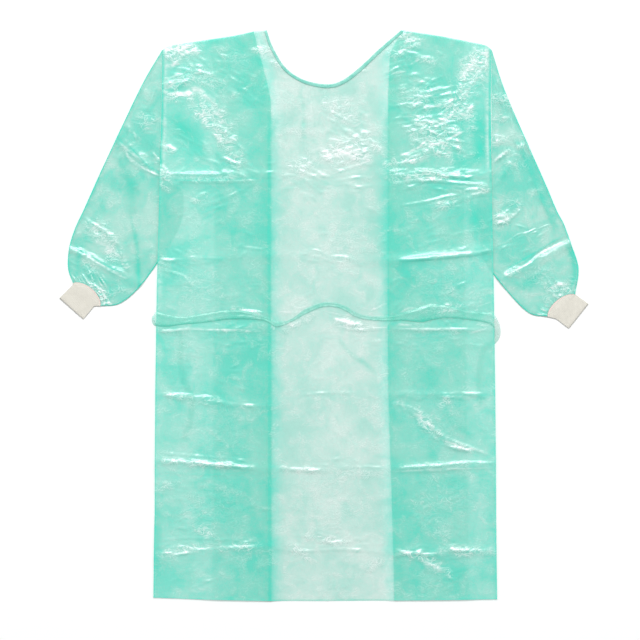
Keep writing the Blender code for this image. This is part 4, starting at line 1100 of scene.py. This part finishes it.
def make_front():
    """The front: one film from side seam to side seam, over both back panels."""
    step = bpy.context.scene.gown_film.step / MM
    ends = (CHEST.left_side, CHEST.right_side)
    shares = np.linspace(0.0, 1.0, int((ends[1] - ends[0]) / (1.15 * step)))
    top_xs = np.interp(mix(*ends, shares), (ends[0], *SCOOP_AT_CHEST, ends[1]),
                       (SIDE_TOPS[0], NECK_SCOOP[0].x, NECK_SCOOP[-1].x, SIDE_TOPS[1]))
    across, along = panel_grid(shares, "left_side", "right_side", top_xs,
                               int(FRONT_LENGTH / (0.86 * step)),
                               int(YOKE_HEIGHT / (0.95 * step)))
    raised, crushed = body_relief(across, along)
    grid = np.stack((across, along, front_height(across, along) + raised), axis=-1)
    made = make_mesh("front_film", grid, grid_faces(*grid.shape[:2]).tolist(),
                     [film_finish("tinted_film_front", (0.0, 0.0, 0.0), rest=0.96)])
    mark_front(made, across, along, raised, crushed)
    fit_piece(made, "front")
    return made


def cuff_seam(station, cuff, shares):
    """The seam of a sleeve and its cuff, which bows up into the sleeve."""
    start = np.array(station[:2])
    end = np.array(station[2:4])
    along = unit(end - start)
    into = np.array((-along[1], along[0])) if start[0] < 0.0 else np.array((along[1], -along[0]))
    bow = cuff.bow * (4.0 * shares * (1.0 - shares)) ** BOW_ROUNDNESS
    return mix(start[None, :], end[None, :], shares[:, None]) + into * bow[:, None]


def sleeve_grid(stations, cuff, rows, columns):
    """Points across and along the pressed tube of a sleeve."""
    left = stations[0].outer_x < 0.0
    side = "left_side" if left else "right_side"
    shares = np.linspace(0.0, 1.0, columns)
    first = stations[0]
    low_y = first.outer_y - ARMHOLE_DEPTH
    low_x = float(body_x(side, low_y)) + (-0.3 if left else 0.3)
    on_seam = np.clip(shares / SEAM_SHARE, 0.0, 1.0)[:, None]
    hidden = np.clip((shares - SEAM_SHARE) / (1.0 - SEAM_SHARE), 0.0, 1.0)[:, None]
    armhole = mix(np.array(((first.outer_x, first.outer_y),)), np.array(((low_x, low_y),)), on_seam)
    armhole = mix(armhole, np.array(((first.inner_x, first.inner_y),)), hidden)
    straight = mix(np.array(first[:2])[None, :], np.array(first[2:4])[None, :], shares[:, None])
    seam = cuff_seam(stations[-1], cuff, shares)
    seam_bow = seam - mix(seam[:1], seam[-1:], shares[:, None])
    places = np.linspace(0.0, len(stations) - 1.0, rows)
    grid = []
    for place, row in zip(places, smooth_curve(stations, places)):
        line = mix(row[None, :2], row[None, 2:4], shares[:, None])
        line = line + (armhole - straight) * (1.0 - min(place / ARMHOLE_BOW, 1.0))
        to_end = (len(stations) - 1.0 - place) / CUFF_BOW
        line = line + seam_bow * (1.0 - min(to_end, 1.0))
        grid.append(line)
    grid = np.array(grid)
    return grid[:, :, 0], grid[:, :, 1]


def sleeve_relief(across, along, left):
    """How far creases, crushed places and the gathers at the cuff raise a sleeve's film, and how
    crushed it is."""
    relief = crease_height(across, along, SLEEVE_CREASES)
    box = (across.min(), across.max(), along.min(), along.max())
    own = [crease for crease in SLEEVE_CREASES if (crease.path[0][0] < 0.0) == left]
    relief += crease_height(across, along, small_creases(own, seed=9, count=60, box=box))
    relief += crease_height(across, along, streak_creases(SLEEVE_STREAKS, seed=7))
    crumpled, crushed = crumple_height(across, along, SLEEVE_PATCHES, seed=8)
    relief += crumpled + slack_height(across, along, 21, 1.1, shortest=35.0, longest=110.0)
    down = np.linspace(0.0, 1.0, len(across))[:, None]
    ring = np.linspace(0.0, 1.0, across.shape[1])[None, :]
    gather = 1.1 * soft_step(down, 0.86, 1.0) * np.sin(ring * 60.0 + 1.5 * np.sin(down * 30.0))
    return relief + np.maximum(gather, 0.0), crushed


def sleeve_marks(across, along, relief, crushed, hidden):
    """What tells the film's finish where a sleeve is turned, crushed, given painted shade and given
    painted highlights. Its lower face is unmarked, and its turned edges are deep."""
    # Painted highlights on crease slopes facing the key light and along the glare bands; painted shade
    # on the other slopes and along the shade bands
    bright, dull = crests(relief, along)
    bright = 0.8 * bright + crease_height(across, along, SLEEVE_GLARES)
    dull = dull + 2.2 * crease_height(across, along, SLEEVE_SHADES)
    dull[:, (0, -1)] = 2.2
    dull[:, (1, -2)] += 0.7
    bright[:, (0, -1)] = 0.0
    marks = {"doubled_and_shade": 0.45 * dull, "crushed": crushed, "crest": bright}
    marks = {name: np.pad(field, ((0, 0), (0, hidden))) for name, field in marks.items()}
    columns = across.shape[1]
    marks["doubled_and_shade"][:, columns:columns + 3] = 1.0
    marks["doubled_and_shade"][:, -3:] = 1.0
    return marks


def make_sleeve(name, node, stations, cuff):
    """A sleeve: one tube of film pressed flat, gathered into its cuff."""
    left = stations[0].outer_x < 0.0
    across, along = sleeve_grid(stations, cuff, SLEEVE_ROWS, SLEEVE_COLUMNS)
    tree = surface_of(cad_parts[node])
    height = soften(top_of(tree, across, along) - CLOTH / 2, 2)
    side_x = body_x("left_side" if left else "right_side", along)
    outside = (side_x - across) if left else (across - side_x)
    relief, crushed = sleeve_relief(across, along, left)
    relief *= soft_step(outside, 2.0, 14.0)
    share = bpy.context.scene.gown_film.crease
    upper = np.stack((across, along, height + share * relief), axis=-1)
    lower = upper.copy()
    lower[:, :, 2] = 0.35 + slack_height(across, along, seed=22, height=0.3)
    grid = pressed_tube(upper, lower, 1.0, 45.0)
    marks = sleeve_marks(across, along, relief, crushed, grid.shape[1] - across.shape[1])
    if left:
        grid = grid[::-1]
        marks = {key: field[::-1] for key, field in marks.items()}
    made = make_mesh(name, grid, grid_faces(*grid.shape[:2], closed_round=True).tolist(),
                     [film_finish("tinted_film_" + node, (0.7, 0.2, 0.1), rest=0.93)])
    for key, field in marks.items():
        mark(made, key, field)
    fit_piece(made, node)
    return made


def cuff_faces(seam, cuff, ribs):
    """The upper and the lower face of a cuff's pressed tube, from the join to the free edge."""
    shares = np.linspace(0.0, 1.0, len(seam))
    neck = mix(np.array((cuff.neck_outer,)), np.array((cuff.neck_inner,)), shares[:, None])
    free = mix(np.array((cuff.free_outer,)), np.array((cuff.free_inner,)), shares[:, None])
    down = unit((free[0] + free[-1]) / 2.0 - (seam[0] + seam[-1]) / 2.0)
    rib = 0.5 + 0.5 * np.cos(2.0 * math.pi * ribs * shares)
    bulge = np.sqrt(4.0 * shares * (1.0 - shares))
    upper = []
    lower = []
    for number, place in enumerate(np.linspace(0.0, 1.0, CUFF_ROWS)):
        if place < 0.5:
            line = mix(seam + down * 0.45, neck, 2.0 * place)
        else:
            line = mix(neck, free, 2.0 * place - 1.0)
        top = 2.55 + 0.55 * rib + 1.3 * math.sin(math.pi * min(place * 1.6, 1.0)) * bulge
        top += 0.12 * math.sin(number * 2.6)
        if number < JOIN_ROWS:
            top += 0.7
        rounded = max(number - CUFF_ROWS + 3, 0)
        upper.append(np.column_stack((line, top - 0.35 * rounded)))
        lower.append(np.column_stack((line, 0.12 + 0.3 * (1.0 - rib))))
    return np.array(upper), np.array(lower)


def make_cuff(name, node, station, cuff):
    """A rib-knit cuff: a pressed tube with raised ribs, a flared neck and an overlocked join."""
    knit = bpy.context.scene.gown_knit
    seam = cuff_seam(station, cuff, np.linspace(0.0, 1.0, 4 * knit.ribs + 1))
    outside = pressed_tube(*cuff_faces(seam, cuff, knit.ribs), 1.2, 50.0)
    centre = outside.mean(axis=1, keepdims=True)
    inside = centre + (outside - centre) * np.array((0.985, 0.985, 0.42))
    rings = np.vstack((outside, inside[::-1]))
    around = rings.shape[1]
    faces = grid_faces(len(rings) + 1, around, closed_round=True) % (len(rings) * around)
    if station.outer_x < 0.0:
        faces = faces[:, ::-1]
    join = (np.arange(len(faces)) // around < JOIN_ROWS).astype(int)
    made = make_mesh(name, rings, faces.tolist(),
                     [rib_knit("rib_knit_" + node, knit.yarn, 1.6),
                      rib_knit("overlocked_join_" + node, knit.join, 1.1)], join)
    fit_piece(made, node)
    return made


def strip_faces(rings, size):
    """Faces of a closed strip made of rings, with flat ends."""
    faces = grid_faces(rings, size, closed_round=True).tolist()
    faces.append(list(range(size))[::-1])
    faces.append([(rings - 1) * size + place for place in range(size)])
    return faces


def tangents(points):
    return unit(np.gradient(points[:, :2], axis=0))


# The binding's width along X, as a share of its full width
BINDING_FULLNESS = ((-116.0, 0.7), (-90.0, 0.75), (0.0, 1.0), (60.0, 1.0), (120.0, 0.9), (157.0, 0.7))

# The binding's section: share of its width in from the neck edge, and height over the front.
# The tape starts on the front, turns over the neck edge and ends behind it
BINDING_SECTION = (
    (1.02, 0.1), (0.99, 0.75), (0.8, 1.1), (0.5, 0.9), (0.18, 1.15), (0.02, 0.85), (-0.05, 0.3),
    (-0.03, -0.12), (0.15, -0.3), (0.55, -0.3), (0.95, -0.3),
)


def make_binding():
    """The neck binding: a tape folded over the neck edge and drawn in a little."""
    trim = bpy.context.scene.gown_trim
    width = trim.binding_width / MM
    edge = even_curve(NECK_SCOOP, 2.5)
    ways = tangents(edge)
    inwards = np.column_stack((ways[:, 1], -ways[:, 0]))
    tree = surface_of(bpy.data.objects["front_film"])
    cad = surface_of(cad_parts["neck_binding"])
    full = np.interp(edge[:, 0], *zip(*BINDING_FULLNESS))
    spots = [edge[:, :2] + inwards * width * share for share in (0.1, 0.5, 0.95)]
    base = np.max([top_of(tree, spot[:, 0], spot[:, 1], missing=0.5) for spot in spots], axis=0)
    packed = top_of(cad, spots[1][:, 0], spots[1][:, 1]) - 2 * CLOTH
    base = soften(np.maximum(base + 0.1, packed)[:, None], 2)[:, 0]
    rows = []
    for number, at in enumerate(edge):
        ripple = 1.0 + 0.1 * math.sin(number * 1.9) + 0.07 * math.sin(number * 0.83)
        row = []
        for across, up in BINDING_SECTION:
            spot = at[:2] + inwards[number] * width * full[number] * across
            height = base[number] + up * (1.3 * ripple if up > 0.0 else 1.0)
            row.append((spot[0], spot[1], max(height, 0.06)))
        rows.append(row)
    grid = np.array(rows)
    made = make_mesh("neck_binding_tape", grid, grid_faces(*grid.shape[:2]).tolist(),
                     [gathered_film("gathered_film_binding", trim.tint)])
    fit_piece(made, "neck_binding")
    return made


# The belt's section from its upper edge to its lower one: share of its width, then the share of
# the upper bead, of the lower bead and of the flat web between them
BELT_SECTION = (
    (-0.04, 0.05, 0.0, 0.0), (0.05, 0.5, 0.0, 0.0), (0.15, 0.9, 0.0, 0.0), (0.27, 0.9, 0.0, 0.3),
    (0.4, 0.5, 0.0, 1.0), (0.5, 0.22, 0.22, 1.0), (0.6, 0.0, 0.5, 1.0), (0.73, 0.0, 0.9, 0.3),
    (0.85, 0.0, 0.9, 0.0), (0.95, 0.0, 0.5, 0.0), (1.04, 0.0, 0.05, 0.0),
    (0.8, 0.0, 0.0, 0.0), (0.5, 0.0, 0.0, 0.0), (0.2, 0.0, 0.0, 0.0),
)


def belt_base(rows, left, right):
    """The height that the belt lies at over the front, clear of every crease under its width."""
    tree = surface_of(bpy.data.objects["front_film"])
    found = []
    for share in (0.02, 0.25, 0.5, 0.75, 0.98):
        spot = mix(rows[:, :2], rows[:, 2:4], share)
        found.append(top_of(tree, np.clip(spot[:, 0], left, right), spot[:, 1], missing=0.5))
    wide = np.pad(np.max(found, axis=0), 2, mode="edge")
    base = np.max([wide[start:start + len(rows)] for start in range(5)], axis=0)
    return soften(base[:, None], 3)[:, 0] + 0.2


def belt_ring(number, row, base):
    """One ring round the belt: its beads pleated and a little twisted, and the web between."""
    upper_bead, lower_bead, over = row[4:7]
    level = 0.1 + min(max(over, 0.0), 1.0) * base
    twist = math.sin(number * 0.55) * 0.12
    ring = []
    for across, upper_share, lower_share, web_share in BELT_SECTION:
        spot = mix(row[:2], row[2:4], across)
        pleat = 1.0 + 0.14 * math.sin(number * 0.9 + across * 9.0) + twist * (across - 0.5)
        web = 0.55 + 0.25 * math.sin(number * 0.37 + across * 4.0)
        up = (upper_share * upper_bead + lower_share * lower_bead) * pleat + web_share * web
        ring.append((spot[0], spot[1], level + up))
    return ring


def mark_belt(made, rows, right):
    """Tells the film's finish where the belt lies double, where the shadow along its lower edge is
    painted as deeper film, and where its loop lies alone beside the gown."""
    section = np.array([across for across, _, _, _ in BELT_SECTION])
    bunched = 1.0 - soft_step(np.hypot(*(rows[:, :2] - rows[:, 2:4]).T), 8.0, 17.0)[:, None]
    spread = 1.0 - bunched
    at_edge = np.maximum(np.abs(section - 0.5) * 2.0 - 0.55, 0.0) / 0.45
    doubled_and_shade = np.maximum(0.2 * bunched, 0.25 * at_edge[None, :] * spread)
    # Painted shade along the belt's lower edge, where its shadow falls
    painted_shade_edge = soft_step(section, 0.7, 0.95)
    mark(made, "doubled_and_shade", np.maximum(doubled_and_shade, (0.22 + 0.4 * spread) * painted_shade_edge[None, :]))
    mark(made, "crushed", 0.06 * np.ones((len(rows), len(section))))
    beyond = soft_step(rows[:, 0] - right, 1.0, 5.0)
    mark(made, "alone", 0.45 * np.outer(beyond, np.ones(len(section))))


def make_belt():
    """The belt: a long tape of film tied round the gown, bunched to a cord in the middle, spread
    at the sides, with a loop round each side edge and its ends under the gown."""
    rows = even_curve(BELT, 3.0)
    left = body_x("left_side", rows[:, 1]) + 1.0
    right = body_x("right_side", rows[:, 1]) - 1.0
    base = belt_base(rows, left, right)
    rings = [belt_ring(number, row, base[number]) for number, row in enumerate(rows)]
    trim = bpy.context.scene.gown_trim
    made = make_mesh("belt_tape", rings, strip_faces(len(rings), len(BELT_SECTION)),
                     [blown_film("tinted_film_belt", trim.tint, trim.pale, 0.2, 0.27,
                                 (0.2, 0.9, 0.3))])
    made.data.set_sharp_from_angle(angle=math.radians(50.0))
    mark_belt(made, rows, right)
    fit_piece(made, "belt")
    return made


def add_softbox(name, power, size, at, aim):
    lamp = bpy.data.lights.new(name, "AREA")
    lamp.shape = "RECTANGLE"
    lamp.size = size[0]
    lamp.size_y = size[1]
    lamp.energy = power
    made = bpy.data.objects.new(name, lamp)
    made.location = at
    made.rotation_euler = (Vector(aim) - Vector(at)).to_track_quat("-Z", "Y").to_euler()
    bpy.context.scene.collection.objects.link(made)


def lay_floor(colour):
    """Matt paint on board: a barely uneven white."""
    finish, tree = new_finish("painted_board_floor")
    uneven = noise(tree, own_place(tree), 3.0)
    paint = colour_ramp(tree, uneven, (0.0, [0.985 * part for part in colour]), (1.0, colour))
    end_finish(tree, {"Base Color": paint, "Roughness": 0.9})
    half = 6000.0
    level = -0.5
    corners = [(x, y, level) for x, y in ((-half, -half), (half, -half), (half, half),
                                          (-half, half))]
    floor = make_mesh("floor", corners, [(0, 1, 2, 3)], [finish])


def light_room(strength):
    """Even light from all round."""
    world = bpy.data.worlds.new("studio_room")
    world.use_nodes = True
    background = world.node_tree.nodes["Background"]
    background.inputs["Color"].default_value = (1.0, 1.0, 1.0, 1.0)
    background.inputs["Strength"].default_value = strength
    bpy.context.scene.world = world


def place_camera():
    camera = bpy.data.cameras.new("camera")
    camera.sensor_width = 36.0
    camera.lens = CAMERA_LENS
    made = bpy.data.objects.new("camera", camera)
    made.location = CAMERA_PLACE
    bpy.context.scene.collection.objects.link(made)
    bpy.context.scene.camera = made


class GOWN_OT_stage(bpy.types.Operator):
    """Lays the floor and sets the lights and the camera"""

    bl_idname = "gown.stage"
    bl_label = "Stage"

    def execute(self, context):
        stage = context.scene.gown_stage
        lay_floor(stage.floor)
        centre = (0.0, 0.0, 0.0)
        add_softbox("key_softbox", stage.key_power, (5.2, 1.4), (0.0, 6.4, 8.4), centre)
        add_softbox("left_softbox", stage.fill_power, (1.2, 3.6), (-8.0, 2.4, 7.2), centre)
        add_softbox("right_softbox", stage.fill_power, (1.2, 3.6), (8.0, 2.4, 7.2), centre)
        light_room(stage.sky)
        place_camera()
        context.scene.view_settings.view_transform = "Standard"
        context.scene.cycles.transparent_max_bounces = 24
        return {"FINISHED"}


class GOWN_OT_backs(bpy.types.Operator):
    """Folds the two back panels and lays them flat"""

    bl_idname = "gown.backs"
    bl_label = "Back panels"

    def execute(self, context):
        make_back("back_left_film", "back_left", left=True)
        make_back("back_right_film", "back_right", left=False)
        return {"FINISHED"}


class GOWN_OT_front(bpy.types.Operator):
    """Lays the creased front over the back panels"""

    bl_idname = "gown.front"
    bl_label = "Front"

    def execute(self, context):
        make_front()
        return {"FINISHED"}


class GOWN_OT_sleeves(bpy.types.Operator):
    """Presses the two sleeves flat beside the body"""

    bl_idname = "gown.sleeves"
    bl_label = "Sleeves"

    def execute(self, context):
        make_sleeve("sleeve_left_film", "sleeve_left", SLEEVE_LEFT, CUFF_LEFT)
        make_sleeve("sleeve_right_film", "sleeve_right", SLEEVE_RIGHT, CUFF_RIGHT)
        return {"FINISHED"}


class GOWN_OT_cuffs(bpy.types.Operator):
    """Knits the two ribbed cuffs onto the sleeves"""

    bl_idname = "gown.cuffs"
    bl_label = "Cuffs"

    def execute(self, context):
        make_cuff("cuff_left_knit", "cuff_left", SLEEVE_LEFT[-1], CUFF_LEFT)
        make_cuff("cuff_right_knit", "cuff_right", SLEEVE_RIGHT[-1], CUFF_RIGHT)
        return {"FINISHED"}


class GOWN_OT_binding(bpy.types.Operator):
    """Folds the binding over the neck edge"""

    bl_idname = "gown.binding"
    bl_label = "Neck binding"

    def execute(self, context):
        make_binding()
        return {"FINISHED"}


class GOWN_OT_belt(bpy.types.Operator):
    """Lays the belt over the front and round its sides"""

    bl_idname = "gown.belt"
    bl_label = "Belt"

    def execute(self, context):
        make_belt()
        return {"FINISHED"}


OPERATORS = (
    GOWN_OT_stage,
    GOWN_OT_backs,
    GOWN_OT_front,
    GOWN_OT_sleeves,
    GOWN_OT_cuffs,
    GOWN_OT_binding,
    GOWN_OT_belt,
)


class GOWN_PT_panel(bpy.types.Panel):
    """Sizes, colours and steps of the gown"""

    bl_label = "Isolation gown"
    bl_idname = "GOWN_PT_panel"
    bl_space_type = "VIEW_3D"
    bl_region_type = "UI"
    bl_category = "Gown"

    def draw(self, context):
        for name, group in SETTING_GROUPS:
            box = self.layout.box()
            settings = getattr(context.scene, name)
            for entry in group.__annotations__:
                box.prop(settings, entry)
        for operator in OPERATORS:
            self.layout.operator(operator.bl_idname)


def register():
    for name, group in SETTING_GROUPS:
        bpy.utils.register_class(group)
        setattr(bpy.types.Scene, name, PointerProperty(type=group))
    for kind in OPERATORS + (GOWN_PT_panel,):
        bpy.utils.register_class(kind)


def unregister():
    for kind in reversed(OPERATORS + (GOWN_PT_panel,)):
        bpy.utils.unregister_class(kind)
    for name, group in reversed(SETTING_GROUPS):
        delattr(bpy.types.Scene, name)
        bpy.utils.unregister_class(group)


def main():
    register()
    bpy.ops.gown.stage()
    bpy.ops.gown.sleeves()
    bpy.ops.gown.backs()
    bpy.ops.gown.front()
    bpy.ops.gown.cuffs()
    bpy.ops.gown.binding()
    bpy.ops.gown.belt()
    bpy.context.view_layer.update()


if __name__ == "__main__":
    main()
